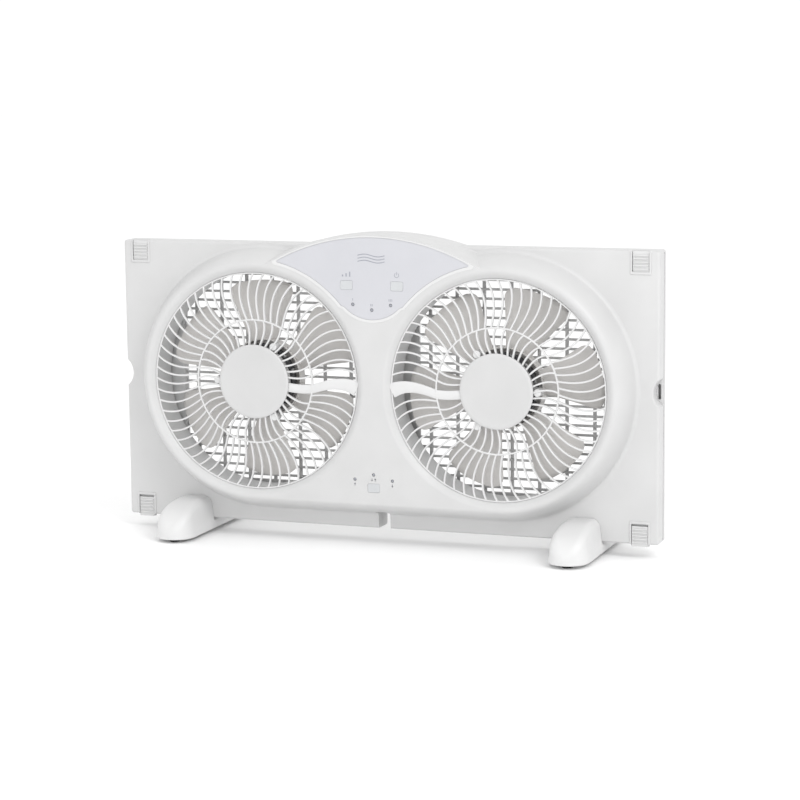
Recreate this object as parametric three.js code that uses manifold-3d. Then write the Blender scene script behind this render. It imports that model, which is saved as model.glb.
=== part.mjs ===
// Twin window fan standing on two feet: two fans side by side in one flat plastic housing.
// Millimetres. X runs along the width, Y from front to back and Z up. The origin is on the
// ground, midway between the feet and midway through their length.
import * as THREE from "three";
import { mergeVertices } from "three/addons/utils/BufferGeometryUtils.js";
import Module from "manifold-3d";

const wasm = await Module();
wasm.setup();

// ---- Driving dimensions -------------------------------------------------------------

const WALL = 2.5; // moulded wall of the housing
const GAP = 0.3; // clearance between pieces that touch
const SLIDE_GAP = 0.4; // clearance of pieces that slide by hand

const PANEL_WIDTH = 600;
const PANEL_HEIGHT = 303.3;
const PANEL_DEPTH = 26.5;
const PANEL_LIFT = 15.35; // ground to the panel's lower edge

const BULGE_HEIGHT = 32; // how far the fan rings stand out in front of the panel
const BULGE_RUN = 16.5; // how far their outer slope runs outwards
const OPENING_RADIUS = 116.5;
const LIP_WIDTH = 8.5; // sloping lip from the opening out to the crest
const LIP_DEPTH = 5;
const WEB = 37.8; // between the two openings
const FAN_RISE = 157.55; // panel's lower edge to the fans' axes
const HUMP_RISE = 12.85; // top of the hump above the panel's upper edge
const HUMP_FRONT_RADIUS = 231.5;
const HUMP_BACK_RADIUS = 300;

const HUB_RADIUS = 39.7;
const RING_RADIUS = 66; // thin ring halfway along the grille's ribs
const RIB_WIDTH = 1.5;
const RIB_DEPTH = 2.9;
const OUTER_RIBS = 60; // places for ribs outside the ring, two of them taken by the arm
const INNER_RIBS = 40; // the same inside the ring

const WINDOW_WIDTH = 204; // rear opening behind each fan
const WINDOW_HEIGHT = 236;
const SLAT_PITCH = 10;
const SLAT_THICKNESS = 2.2;
const BAR_PITCH = 30;
const BAR_WIDTH = 4;
const REAR_GRILLE_DEPTH = 2.5;

const MOTOR_RADIUS = 39;
const MOTOR_EAR = 5; // from the motor's side out to its mounting screws
const SHAFT_RADIUS = 3;
const RUNNING_GAP = 0.1;
const ROUND = 20; // sides of a small cylinder
const RING_ROUND = 40; // sides of the openings and of the grilles that fit them

const BLADE_COUNT = 6;
const BLADE_TIP_GAP = 10.5; // between the blades and the duct
const BLADE_SPAN = 42; // degrees of arc that each blade fills
const BLADE_AXIAL = 17;
const BLADE_THICKNESS = 2;

const EXTENDER_THICKNESS = 3;
const EXTENDER_TRAVEL = 46;
const NOTCH_DEPTH = 7; // finger notch in each end of the front shell
const NOTCH_HALF_HEIGHT = 14.5;
const CORD_NOTCH_HALF_WIDTH = 6.6;
const CORD_NOTCH_HEIGHT = 20.4;

const LOCK_WIDTH = 17.2;
const LOCK_LENGTH = 21.3;
const LOCK_INSET = 20; // end of the panel to the middle of a lock
const LOCK_DROP = 2.3; // how far the lower locks stand below the panel
const LOCK_FLANGE = 1.2;

const FOOT_OFFSET = 219.6;
const FOOT_LENGTH = 174;
const FOOT_WIDTH = 45;
const FOOT_TOP_WIDTH = 36;
const FOOT_HEIGHT = 40;
const PAD_RADIUS = 5.5;
const PAD_HEIGHT = 4;

const FASCIA_THICKNESS = 1;
const FASCIA_INSET = 2.5; // its upper edge below the hump's
const FASCIA_BOWL_RADIUS = 42.6; // its round lower end
const FASCIA_BOWL_DROP = 32.6; // panel's upper edge to the middle of that end
const FASCIA_MARGIN = 7; // from the crest of the fan rings out to the fascia
const BUTTON_WIDTH = 13;
const BUTTON_HEIGHT = 9;
const LAMP_RADIUS = 1.5;

// ---- Places worked out from them ----------------------------------------------------

const PANEL_FRONT = -13;
const PANEL_BACK = PANEL_FRONT + PANEL_DEPTH;
const PANEL_END = PANEL_WIDTH / 2;
const PANEL_TOP = PANEL_LIFT + PANEL_HEIGHT;
const FRONT = PANEL_FRONT - BULGE_HEIGHT;
const FAN_X = OPENING_RADIUS + WEB / 2;
const FAN_Z = PANEL_LIFT + FAN_RISE;
const CREST_RADIUS = OPENING_RADIUS + LIP_WIDTH;
const BASE_RADIUS = CREST_RADIUS + BULGE_RUN;
const HUMP_TOP = PANEL_TOP + HUMP_RISE;
const FASCIA_ARC_RADIUS = HUMP_FRONT_RADIUS - FASCIA_INSET;
const OPENING_FRONT = FRONT + LIP_DEPTH;

const EXTENDER_FRONT = PANEL_FRONT + 15.6;
const EXTENDER_BACK = EXTENDER_FRONT + EXTENDER_THICKNESS;
const FRONT_RIM = EXTENDER_FRONT - SLIDE_GAP; // back edge of the front shell
const REAR_RIM = EXTENDER_BACK + SLIDE_GAP; // front edge of the rear shell's end walls
const REAR_PLATE = PANEL_BACK - WALL;
const REAR_GRILLE_FRONT = REAR_PLATE - GAP - REAR_GRILLE_DEPTH;

const RIB_BACK = OPENING_FRONT + 1.1;
const RIB_FRONT = RIB_BACK - RIB_DEPTH;
const HUB_COVER_DEPTH = 1.5;
const HUB_PLATE_FRONT = FRONT + HUB_COVER_DEPTH + GAP;
const HUB_PLATE_RADIUS = HUB_RADIUS - 1.5;
const BOSS_BACK = RIB_BACK + 5;
const EAR_BACK = BOSS_BACK + GAP + 2.5;

const FRONT_CAP_BACK = RIB_BACK + 11;
const STATOR_BACK = FRONT_CAP_BACK + GAP + 10;
const REAR_CAP_BACK = STATOR_BACK + GAP + 8;
const MOTOR_BOSS_CIRCLE = MOTOR_RADIUS + MOTOR_EAR;
const BLADE_TIP_RADIUS = OPENING_RADIUS - BLADE_TIP_GAP;
const CUP_INNER_RADIUS = MOTOR_RADIUS + 2;
const CUP_RADIUS = CUP_INNER_RADIUS + 2;
const CUP_BACK = REAR_CAP_BACK + 6.5;
const CUP_FRONT = CUP_BACK - BLADE_AXIAL + 3;
const SHAFT_BACK = CUP_BACK + 4.5;
const BLADE_FRONT = CUP_BACK - BLADE_AXIAL;
const DUCT_BACK = CUP_BACK + 1.5;

const BUTTON_X = 28;
const BUTTON_DROP = 39.6; // panel's upper edge to the upper buttons
const LOW_BUTTON_RISE = 17; // lower crest of the rings to the button between them
const SPEED_LAMP_DROP = 20; // upper buttons to the lamps below them
const MODE_LAMP_RISE = 8.6; // lower button to the lamps above it
const BUTTONS = {
  speed_button: [-BUTTON_X, PANEL_TOP - BUTTON_DROP],
  off_button: [BUTTON_X, PANEL_TOP - BUTTON_DROP],
  function_button: [0, FAN_Z - CREST_RADIUS + LOW_BUTTON_RISE],
};
const LAMP_SIDE = 21;
const SPEED_LAMP_Z = PANEL_TOP - BUTTON_DROP - SPEED_LAMP_DROP;
const MODE_LAMP_Z = FAN_Z - CREST_RADIUS + LOW_BUTTON_RISE + MODE_LAMP_RISE;
const LAMP_STEP = 5.5; // the middle lamp is set lower above, and higher below
const LAMPS = {
  speed_lamp_low: [-LAMP_SIDE, SPEED_LAMP_Z],
  speed_lamp_medium: [0, SPEED_LAMP_Z - LAMP_STEP],
  speed_lamp_high: [LAMP_SIDE, SPEED_LAMP_Z],
  mode_lamp_left: [-LAMP_SIDE, MODE_LAMP_Z],
  mode_lamp_middle: [0, MODE_LAMP_Z + LAMP_STEP],
  mode_lamp_right: [LAMP_SIDE, MODE_LAMP_Z],
};
const BUTTON_FLANGE = 2; // rim behind the wall that keeps a button in
const BUTTON_TRAVEL = 1.2;
const BUTTON_BACK = FRONT + WALL + GAP + 1;
const BOARD_FRONT = BUTTON_BACK + BUTTON_TRAVEL + 2.4;
const BOARD_THICKNESS = 1.6;
const SCREW_X = 170;
const SCREW_INSET = 13.5; // panel edge to the housing screws
const SCREW_RADIUS = 1.5;
const SCREW_HEAD_RADIUS = 3.2;
const SCREW_BOSS_RADIUS = 4.2;

// ---- Solids -------------------------------------------------------------------------

function toSolid(geometry) {
  const bare = geometry.index ? geometry.toNonIndexed() : geometry.clone();
  bare.deleteAttribute("normal");
  bare.deleteAttribute("uv");
  const merged = mergeVertices(bare, 1e-4);
  const vertProperties = merged.attributes.position.array;
  const triVerts = new Uint32Array(merged.index.array);
  return new wasm.Manifold(new wasm.Mesh({ numProp: 3, vertProperties, triVerts }));
}

function box(x0, x1, y0, y1, z0, z1) {
  const geometry = new THREE.BoxGeometry(x1 - x0, y1 - y0, z1 - z0);
  return toSolid(geometry.translate((x0 + x1) / 2, (y0 + y1) / 2, (z0 + z1) / 2));
}

// A cylinder or cone about an axis along Y, with its radius at y0 and at y1.
function disc(x, z, y0, y1, radius, backRadius = radius, segments = ROUND) {
  const geometry = new THREE.CylinderGeometry(backRadius, radius, y1 - y0, segments);
  return toSolid(geometry.translate(x, (y0 + y1) / 2, z));
}

function tube(x, z, y0, y1, outer, inner, segments = ROUND) {
  const hole = disc(x, z, y0 - 1, y1 + 1, inner, inner, segments);
  return disc(x, z, y0, y1, outer, outer, segments).subtract(hole);
}

// An outline in X and Z, pushed along Y.
function prismY(shape, y0, y1) {
  const geometry = new THREE.ExtrudeGeometry(shape, { depth: y1 - y0, bevelEnabled: false });
  return toSolid(geometry.rotateX(Math.PI / 2).translate(0, y1, 0));
}

// An outline in Y and Z, pushed along X.
function prismX(shape, x0, x1) {
  const geometry = new THREE.ExtrudeGeometry(shape, { depth: x1 - x0, bevelEnabled: false });
  const turn = new THREE.Matrix4().makeBasis(
    new THREE.Vector3(0, 1, 0),
    new THREE.Vector3(0, 0, 1),
    new THREE.Vector3(1, 0, 0),
  );
  return toSolid(geometry.applyMatrix4(turn).translate(x0, 0, 0));
}

// An outline in X and Y, pushed along Z.
function prismZ(shape, z0, z1) {
  const geometry = new THREE.ExtrudeGeometry(shape, { depth: z1 - z0, bevelEnabled: false });
  return toSolid(geometry.translate(0, 0, z0));
}

// A solid between two outlines with the same number of points, one at y0 and one at y1.
function loft(front, back, y0, y1) {
  const shape = new THREE.Shape(front);
  const geometry = new THREE.ExtrudeGeometry(shape, { depth: y1 - y0, bevelEnabled: false });
  const key = (x, y) => Math.fround(x) + "," + Math.fround(y);
  const place = new Map(front.map((p, i) => [key(p.x, p.y), back[i]]));
  const points = geometry.attributes.position;
  for (let i = 0; i < points.count; i++) {
    if (points.getZ(i) > 0) continue;
    const moved = place.get(key(points.getX(i), points.getY(i)));
    points.setXY(i, moved.x, moved.y);
  }
  return toSolid(geometry.rotateX(Math.PI / 2).translate(0, y1, 0));
}

function union(solids) {
  return solids.reduce((sum, solid) => sum.add(solid));
}

function cut(solid, tools) {
  return tools.reduce((rest, tool) => rest.subtract(tool), solid);
}

function radians(degrees) {
  return (degrees * Math.PI) / 180;
}

function polar(degrees, radius) {
  return new THREE.Vector2(Math.cos(radians(degrees)) * radius, Math.sin(radians(degrees)) * radius);
}

function arc(x, y, radius, from, to, steps) {
  const points = [];
  for (let i = 0; i <= steps; i++) {
    const p = polar(from + ((to - from) * i) / steps, radius);
    points.push(new THREE.Vector2(x + p.x, y + p.y));
  }
  return points;
}

function rectangle(x0, x1, y0, y1) {
  const corners = [[x0, y0], [x1, y0], [x1, y1], [x0, y1]];
  return new THREE.Shape(corners.map(([x, y]) => new THREE.Vector2(x, y)));
}

// Angle, seen from the centre of the fan circle, at which it meets the hump's arc.
function meetingAngle(ringRadius, humpRadius, humpTop) {
  const dx = -FAN_X;
  const dz = humpTop - humpRadius - FAN_Z;
  const distance = Math.hypot(dx, dz);
  const along = (distance ** 2 + ringRadius ** 2 - humpRadius ** 2) / (2 * distance * ringRadius);
  const spread = (Math.acos(THREE.MathUtils.clamp(along, -1, 1)) * 180) / Math.PI;
  return (Math.atan2(dz, dx) * 180) / Math.PI - spread + 360;
}

// The figure that encloses both fan circles: an arc over the top and a straight lower side.
function twinOutline(ringRadius, humpRadius, humpTop) {
  const meet = meetingAngle(ringRadius, humpRadius, humpTop);
  const right = arc(FAN_X, FAN_Z, ringRadius, -90, meet, 24);
  const last = right[right.length - 1];
  const centre = humpTop - humpRadius;
  const half = (Math.atan2(last.x, last.y - centre) * 180) / Math.PI;
  const top = arc(0, centre, humpRadius, 90 - half, 90 + half, 10).slice(1, -1);
  const left = right.map((p) => new THREE.Vector2(-p.x, p.y)).reverse();
  return [...right, ...top, ...left];
}

// ---- Housing ------------------------------------------------------------------------

function humpAbovePanel(inset, y0, y1) {
  const centre = HUMP_TOP - HUMP_BACK_RADIUS;
  const radius = HUMP_BACK_RADIUS - inset;
  const rise = PANEL_TOP - inset - centre;
  const half = (Math.acos(rise / radius) * 180) / Math.PI;
  const points = arc(0, centre, radius, 90 - half, 90 + half, 10);
  const end = points[points.length - 1];
  points.push(new THREE.Vector2(end.x, end.y - 2 * WALL));
  points.push(new THREE.Vector2(points[0].x, points[0].y - 2 * WALL));
  return prismY(new THREE.Shape(points), y0, y1);
}

function bulge(inset, shift) {
  const front = twinOutline(CREST_RADIUS - inset, HUMP_FRONT_RADIUS - inset, HUMP_TOP - inset);
  const back = twinOutline(BASE_RADIUS - inset, HUMP_BACK_RADIUS - inset, HUMP_TOP - inset);
  return loft(front, back, FRONT + shift, PANEL_FRONT + shift);
}

function panelBox(inset, y0, y1) {
  const end = PANEL_END - inset;
  return box(-end, end, y0, y1, PANEL_LIFT + inset, PANEL_TOP - inset);
}

function frontOuter() {
  return union([
    panelBox(0, PANEL_FRONT, FRONT_RIM),
    bulge(0, 0),
    humpAbovePanel(0, PANEL_FRONT, FRONT_RIM),
  ]);
}

function frontInner() {
  const slope = Math.hypot(BULGE_HEIGHT, BULGE_RUN);
  const inset = (WALL * (slope - BULGE_RUN)) / BULGE_HEIGHT;
  return union([
    panelBox(WALL, PANEL_FRONT + WALL, FRONT_RIM + 1),
    bulge(inset, WALL),
    humpAbovePanel(WALL, PANEL_FRONT, FRONT_RIM + 1),
  ]);
}

const NOTCH_RADIUS = (NOTCH_HALF_HEIGHT ** 2 + NOTCH_DEPTH ** 2) / (2 * NOTCH_DEPTH);

function fingerNotch(side, extra) {
  const x = side * (PANEL_END - NOTCH_DEPTH + NOTCH_RADIUS);
  return disc(x, FAN_Z, FRONT, FRONT_RIM + 1, NOTCH_RADIUS + extra, NOTCH_RADIUS + extra, 36);
}

function cordNotch(extra) {
  const half = CORD_NOTCH_HALF_WIDTH + extra;
  const top = PANEL_LIFT + CORD_NOTCH_HEIGHT + extra;
  return box(-half, half, FRONT - 1, PANEL_BACK + 1, PANEL_LIFT - 1, top);
}

function fanSides(make) {
  return [-1, 1].map((side) => make(side * FAN_X));
}

function screwPlaces() {
  const high = PANEL_TOP - SCREW_INSET;
  const low = PANEL_LIFT + SCREW_INSET;
  return { upper_left: [-SCREW_X, high], upper_right: [SCREW_X, high],
    lower_left: [-SCREW_X, low], lower_right: [SCREW_X, low] };
}

// Each lock: which end of the panel, which edge, and where its outer edge rests.
function lockPlaces() {
  const places = {};
  for (const [edge, up] of [["upper", 1], ["lower", -1]])
    for (const [end, side] of [["left", -1], ["right", 1]])
      places["window_lock_" + edge + "_" + end] = { x: side * (PANEL_END - LOCK_INSET), up };
  return places;
}

const LOCK_FRONT = PANEL_FRONT - 1;
const LOCK_BACK = PANEL_FRONT + 3.2;
const LOCK_LEDGE = LOCK_BACK - LOCK_FLANGE; // where the slider's flange begins

function lockEdge(up) {
  return up > 0 ? PANEL_TOP : PANEL_LIFT;
}

function lockOuterEdge(up) {
  return up > 0 ? PANEL_TOP - GAP : PANEL_LIFT - LOCK_DROP;
}

// Span along Z of something that begins inside the panel and reaches past its edge.
function lockSpan(up, inward, outward) {
  const edge = lockEdge(up);
  return up > 0 ? [edge - inward, edge + outward] : [edge - outward, edge + inward];
}

function lockFrame({ x, up }) {
  const half = LOCK_WIDTH / 2 + 2.5;
  const [z0, z1] = lockSpan(up, LOCK_LENGTH + 3, 0);
  return box(x - half, x + half, LOCK_FRONT, LOCK_BACK + SLIDE_GAP + 1.6, z0, z1);
}

function lockPocket({ x, up }) {
  const half = LOCK_WIDTH / 2 + SLIDE_GAP;
  const wide = half + LOCK_FLANGE;
  const [z0, z1] = lockSpan(up, LOCK_LENGTH + GAP, 5);
  const ledge = LOCK_LEDGE - SLIDE_GAP;
  return union([
    box(x - half, x + half, LOCK_FRONT - 1, LOCK_BACK + SLIDE_GAP, z0, z1),
    box(x - wide, x + wide, ledge, LOCK_BACK + SLIDE_GAP, z0, z1),
  ]);
}

function fasciaOutline(extra) {
  const side = CREST_RADIUS + FASCIA_MARGIN - extra; // its sides follow circles about the fans
  const top = HUMP_TOP - FASCIA_INSET + extra;
  const centre = top - FASCIA_ARC_RADIUS;
  const bowl = { z: PANEL_TOP - FASCIA_BOWL_DROP, radius: FASCIA_BOWL_RADIUS + extra };
  const points = [];
  const meet = meetingAngle(side, FASCIA_ARC_RADIUS, top);
  const touch = bowlTouch(side, bowl);
  points.push(...arc(FAN_X, FAN_Z, side, touch.fan, meet, 8).reverse());
  points.push(...arc(0, bowl.z, bowl.radius, touch.bowl, -180 - touch.bowl, 8).slice(1, -1));
  const right = points.slice(0, 9);
  points.push(...right.map((p) => new THREE.Vector2(-p.x, p.y)).reverse());
  const last = right[0];
  const half = (Math.atan2(last.x, last.y - centre) * 180) / Math.PI;
  points.push(...arc(0, centre, FASCIA_ARC_RADIUS, 90 + half, 90 - half, 12).slice(1, -1));
  return points;
}

// Where the round bottom of the fascia meets the circle about the right-hand fan.
function bowlTouch(side, bowl) {
  const dx = -FAN_X;
  const dz = bowl.z - FAN_Z;
  const distance = Math.hypot(dx, dz);
  const along = (distance ** 2 + side ** 2 - bowl.radius ** 2) / (2 * distance * side);
  const spread = (Math.acos(THREE.MathUtils.clamp(along, -1, 1)) * 180) / Math.PI;
  const fan = (Math.atan2(dz, dx) * 180) / Math.PI + spread;
  const p = polar(fan, side);
  const angle = (Math.atan2(FAN_Z + p.y - bowl.z, FAN_X + p.x) * 180) / Math.PI;
  return { fan, bowl: angle };
}

function buttonHole([x, z], extra, y0, y1) {
  const w = BUTTON_WIDTH / 2 + extra;
  const h = BUTTON_HEIGHT / 2 + extra;
  return box(x - w, x + w, y0, y1, z - h, z + h);
}

function controlHoles(y0, y1) {
  const buttons = Object.values(BUTTONS).map((place) => buttonHole(place, SLIDE_GAP, y0, y1));
  const lampRadius = LAMP_RADIUS + GAP;
  const lamps = Object.values(LAMPS).map(([x, z]) => disc(x, z, y0, y1, lampRadius, lampRadius, 12));
  return [...buttons, ...lamps];
}

// A small ledge in the duct that the front grille rests against.
function grilleLedge(x, angle) {
  const p = polar(angle, OPENING_RADIUS + 1);
  const half = 3;
  return box(x + p.x - half, x + p.x + half, RIB_BACK + GAP, RIB_BACK + GAP + 2,
    FAN_Z + p.y - half, FAN_Z + p.y + half);
}

const FASCIA_FRONT = FRONT + 0.2;
const FASCIA_FLOOR = FASCIA_FRONT + FASCIA_THICKNESS + GAP;

function frontHousing() {
  const outer = frontOuter();
  let shell = outer.subtract(frontInner());
  const inside = [
    fingerNotch(-1, WALL),
    fingerNotch(1, WALL),
    cordNotch(WALL),
    ...Object.values(screwPlaces()).map(([x, z]) =>
      disc(x, z, FRONT, FRONT_RIM, SCREW_BOSS_RADIUS, SCREW_BOSS_RADIUS, 16)),
  ];
  shell = shell.add(union(inside).intersect(outer.subtract(box(-1e3, 1e3, FRONT_RIM, 1e3, 0, 1e3))));
  const lipBack = OPENING_FRONT + 2 * WALL;
  const rings = fanSides((x) => union([
    disc(x, FAN_Z, FRONT + 1, lipBack, CREST_RADIUS - 1, CREST_RADIUS - 1, RING_ROUND),
    disc(x, FAN_Z, lipBack - 1, DUCT_BACK, OPENING_RADIUS + WALL, OPENING_RADIUS + WALL, RING_ROUND),
  ]));
  shell = union([shell, ...rings, ...Object.values(lockPlaces()).map(lockFrame)]);
  const openings = fanSides((x) => union([
    disc(x, FAN_Z, FRONT - 0.1, OPENING_FRONT, CREST_RADIUS, OPENING_RADIUS, RING_ROUND),
    disc(x, FAN_Z, FRONT, DUCT_BACK + 1, OPENING_RADIUS, OPENING_RADIUS, RING_ROUND),
  ]));
  const ledges = fanSides((x) => union([90, 210, 330].map((angle) => grilleLedge(x, angle))));
  shell = cut(shell, openings);
  shell = union([shell, ...ledges]);
  const bores = Object.values(screwPlaces()).map(([x, z]) =>
    disc(x, z, FRONT_RIM - 12, FRONT_RIM + 1, SCREW_RADIUS + GAP, SCREW_RADIUS + GAP, 12));
  return cut(shell, [
    prismY(new THREE.Shape(fasciaOutline(GAP)), FRONT - 1, FASCIA_FLOOR),
    ...controlHoles(FRONT - 1, FRONT + WALL + 1),
    ...Object.values(lockPlaces()).map(lockPocket),
    fingerNotch(-1, 0),
    fingerNotch(1, 0),
    cordNotch(0),
    ...bores,
  ]);
}

const STOP_HALF_HEIGHT = 50; // half the height of the extenders' stop lips
const STOP_THICKNESS = 2;
const EXTENDER_INNER = FAN_X + WINDOW_WIDTH / 2 - 0.4;
const EXTENDER_OUTER = PANEL_END - GAP;

function rearHousing() {
  const join = FRONT_RIM + GAP;
  const outer = union([
    panelBox(0, join, PANEL_BACK),
    humpAbovePanel(0, join, PANEL_BACK),
  ]);
  const inner = union([
    panelBox(WALL, join - 1, REAR_PLATE),
    humpAbovePanel(WALL, join - 1, REAR_PLATE),
  ]);
  let shell = outer.subtract(inner);
  const slots = [-1, 1].map((side) => {
    const [x0, x1] = [side * (PANEL_END - WALL - 1), side * (PANEL_END + 1)].sort((a, b) => a - b);
    return box(x0, x1, join - 1, REAR_RIM, PANEL_LIFT + WALL, PANEL_TOP - WALL);
  });
  shell = cut(shell, slots);
  const stopX = EXTENDER_INNER + STOP_THICKNESS + EXTENDER_TRAVEL + GAP;
  const stops = [-1, 1].map((side) => {
    const [x0, x1] = [side * stopX, side * (stopX + STOP_THICKNESS)].sort((a, b) => a - b);
    return box(x0, x1, REAR_RIM, PANEL_BACK, FAN_Z - STOP_HALF_HEIGHT, FAN_Z + STOP_HALF_HEIGHT);
  });
  const bosses = Object.values(screwPlaces()).map(([x, z]) =>
    disc(x, z, join, PANEL_BACK, SCREW_BOSS_RADIUS, SCREW_BOSS_RADIUS, 16));
  shell = union([shell, ...stops, ...bosses, cordNotch(WALL).intersect(outer)]);
  const windows = fanSides((x) => box(x - WINDOW_WIDTH / 2, x + WINDOW_WIDTH / 2,
    REAR_PLATE - 1, PANEL_BACK + 1, FAN_Z - WINDOW_HEIGHT / 2, FAN_Z + WINDOW_HEIGHT / 2));
  const bores = Object.values(screwPlaces()).map(([x, z]) => union([
    disc(x, z, join - 1, PANEL_BACK + 1, SCREW_RADIUS + GAP, SCREW_RADIUS + GAP, 12),
    disc(x, z, PANEL_BACK - 1.6, PANEL_BACK + 1, SCREW_HEAD_RADIUS + GAP, SCREW_HEAD_RADIUS + GAP, 16),
  ]));
  const glandRadius = GLAND_RADIUS + GAP;
  const glandHole = disc(0, GLAND_Z, REAR_PLATE - 1, PANEL_BACK + 1, glandRadius, glandRadius);
  return cut(shell, [...windows, ...bores, cordNotch(0), glandHole]);
}

const GLAND_Z = PANEL_LIFT + 42;
const GLAND_RADIUS = 5;
const GLAND_BORE = 3.2;

function cordGland() {
  return union([
    disc(0, GLAND_Z, REAR_PLATE - 3, PANEL_BACK + GAP, GLAND_RADIUS),
    disc(0, GLAND_Z, PANEL_BACK + GAP, PANEL_BACK + 2.5, GLAND_RADIUS + 2, GLAND_RADIUS + 0.5),
    disc(0, GLAND_Z, REAR_PLATE - 4, REAR_PLATE - GAP, GLAND_RADIUS + 1),
  ]).subtract(disc(0, GLAND_Z, REAR_PLATE - 6, PANEL_BACK + 4, GLAND_BORE));
}

function housingScrew(x, z) {
  const head = PANEL_BACK - 1.6 + GAP;
  return disc(x, z, head, PANEL_BACK - GAP / 2, SCREW_HEAD_RADIUS, SCREW_HEAD_RADIUS, 12)
    .add(disc(x, z, FRONT_RIM - 10, head + 0.5, SCREW_RADIUS, SCREW_RADIUS, 6));
}

// ---- Grilles ------------------------------------------------------------------------

// A swept rib: its angle and its half width at each radius, in degrees and millimetres.
function ribList(used, pitch, angleAt) {
  const ribs = [];
  for (let k = used[0]; k <= used[1]; k++)
    ribs.push({ angle: (r) => angleAt(r) + k * pitch, half: () => RIB_WIDTH / 2 });
  return ribs;
}

function outerShare(r) {
  return (r - RING_RADIUS) / (OPENING_RADIUS - RING_RADIUS);
}

function innerShare(r) {
  return (r - HUB_RADIUS) / (RING_RADIUS - HUB_RADIUS);
}

function outerRibAngle(r) {
  const t = outerShare(r);
  return 0.8 * (1 - t) + 14.4 * t * (1 - t);
}

function innerRibAngle(r) {
  const t = innerShare(r);
  return 8.1 - 10.4 * t * (1 - t);
}

// The wide arm that carries the motor's wires from the hub to the middle of the housing.
function outerArm(r) {
  const t = outerShare(r);
  return -5 * (1 - t) - 2.2 * t + 21 * t * (1 - t);
}

function innerArm(r) {
  return -7.3 + 2.3 * innerShare(r) ** 2;
}

function slot(first, second, radii, mirror) {
  const up = radii.map((r) => polar(first.angle(r) + ((first.half(r) / r) * 180) / Math.PI, r));
  const down = radii.map((r) => polar(second.angle(r) - ((second.half(r) / r) * 180) / Math.PI, r));
  const points = [...up, ...down.reverse()];
  return new THREE.Path(mirror ? points.map((p) => new THREE.Vector2(-p.x, p.y)) : points);
}

function slotsBetween(ribs, arm, radii, mirror) {
  const slots = [];
  const turned = { angle: (r) => arm.angle(r) + 360, half: arm.half };
  const list = [arm, ...ribs, turned];
  for (let i = 0; i + 1 < list.length; i++) slots.push(slot(list[i], list[i + 1], radii, mirror));
  return slots;
}

function frontGrille(mirror) {
  const edge = OPENING_RADIUS - GAP;
  const plate = new THREE.Shape(arc(0, 0, edge, 0, 360 - 360 / RING_ROUND, RING_ROUND - 1));
  const outer = ribList([1, OUTER_RIBS - 2], 360 / OUTER_RIBS, outerRibAngle);
  const inner = ribList([0, INNER_RIBS - 3], 360 / INNER_RIBS, innerRibAngle);
  const half = RIB_WIDTH / 2;
  const outerRadii = [RING_RADIUS + half, (RING_RADIUS + edge) / 2, edge - 1.2];
  const innerRadii = [HUB_PLATE_RADIUS, RING_RADIUS - half];
  const outerWide = { angle: outerArm, half: (r) => 4 + 2.5 * outerShare(r) ** 2 };
  const innerWide = { angle: innerArm, half: () => 4 };
  plate.holes.push(...slotsBetween(outer, outerWide, outerRadii, mirror));
  plate.holes.push(...slotsBetween(inner, innerWide, innerRadii, mirror));
  const hub = disc(0, 0, HUB_PLATE_FRONT, RIB_BACK, HUB_PLATE_RADIUS, HUB_PLATE_RADIUS, 24);
  const bosses = motorBosses(mirror).map((p) => disc(p.x, p.y, RIB_FRONT, BOSS_BACK, 4, 4, 8));
  const bores = motorBosses(mirror).map((p) =>
    disc(p.x, p.y, RIB_FRONT + 2, BOSS_BACK + 1, SCREW_RADIUS + GAP, SCREW_RADIUS + GAP, 8));
  return cut(union([prismY(plate, RIB_FRONT, RIB_BACK), hub, ...bosses]), bores);
}

function motorBosses(mirror) {
  return [60, 180, 300].map((angle) => polar(mirror ? 180 - angle : angle, MOTOR_BOSS_CIRCLE));
}

// Level slats across the window, with upright bars just behind them that join the frame.
function rearGrille() {
  const halfWidth = WINDOW_WIDTH / 2 + 4;
  const halfHeight = WINDOW_HEIGHT / 2 + 4;
  const plate = rectangle(-halfWidth, halfWidth, -halfHeight, halfHeight);
  const inset = WINDOW_WIDTH / 2 - GAP;
  const rows = Math.floor(WINDOW_HEIGHT / 2 / SLAT_PITCH);
  const limit = WINDOW_HEIGHT / 2 - GAP;
  const rim = 3; // solid above and below the slats, where the bars join the frame
  for (let k = -rows - 1; k <= rows; k++) {
    const low = Math.max(k * SLAT_PITCH + SLAT_THICKNESS / 2, rim - limit);
    const high = Math.min((k + 1) * SLAT_PITCH - SLAT_THICKNESS / 2, limit - rim);
    if (high - low > SLAT_THICKNESS) plate.holes.push(rectangle(-inset, inset, low, high));
  }
  const slats = prismY(plate, REAR_GRILLE_FRONT, REAR_GRILLE_FRONT + REAR_GRILLE_DEPTH);
  const bars = [];
  const count = Math.floor(WINDOW_WIDTH / 2 / BAR_PITCH - 0.2);
  const slatBack = REAR_GRILLE_FRONT + REAR_GRILLE_DEPTH;
  const edge = limit - rim;
  for (let k = -count; k <= count; k++) {
    const [x0, x1] = [k * BAR_PITCH - BAR_WIDTH / 2, k * BAR_PITCH + BAR_WIDTH / 2];
    bars.push(box(x0, x1, slatBack + GAP, PANEL_BACK - 0.5, -limit, limit));
    bars.push(box(x0, x1, slatBack - 1, slatBack + 1, edge + 1, limit));
    bars.push(box(x0, x1, slatBack - 1, slatBack + 1, -limit, -edge - 1));
  }
  return union([slats, ...bars]);
}

function hubCover() {
  return disc(0, 0, FRONT, FRONT + HUB_COVER_DEPTH, HUB_RADIUS - 0.8, HUB_RADIUS, RING_ROUND);
}

// ---- Motor and impeller -------------------------------------------------------------

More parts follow.
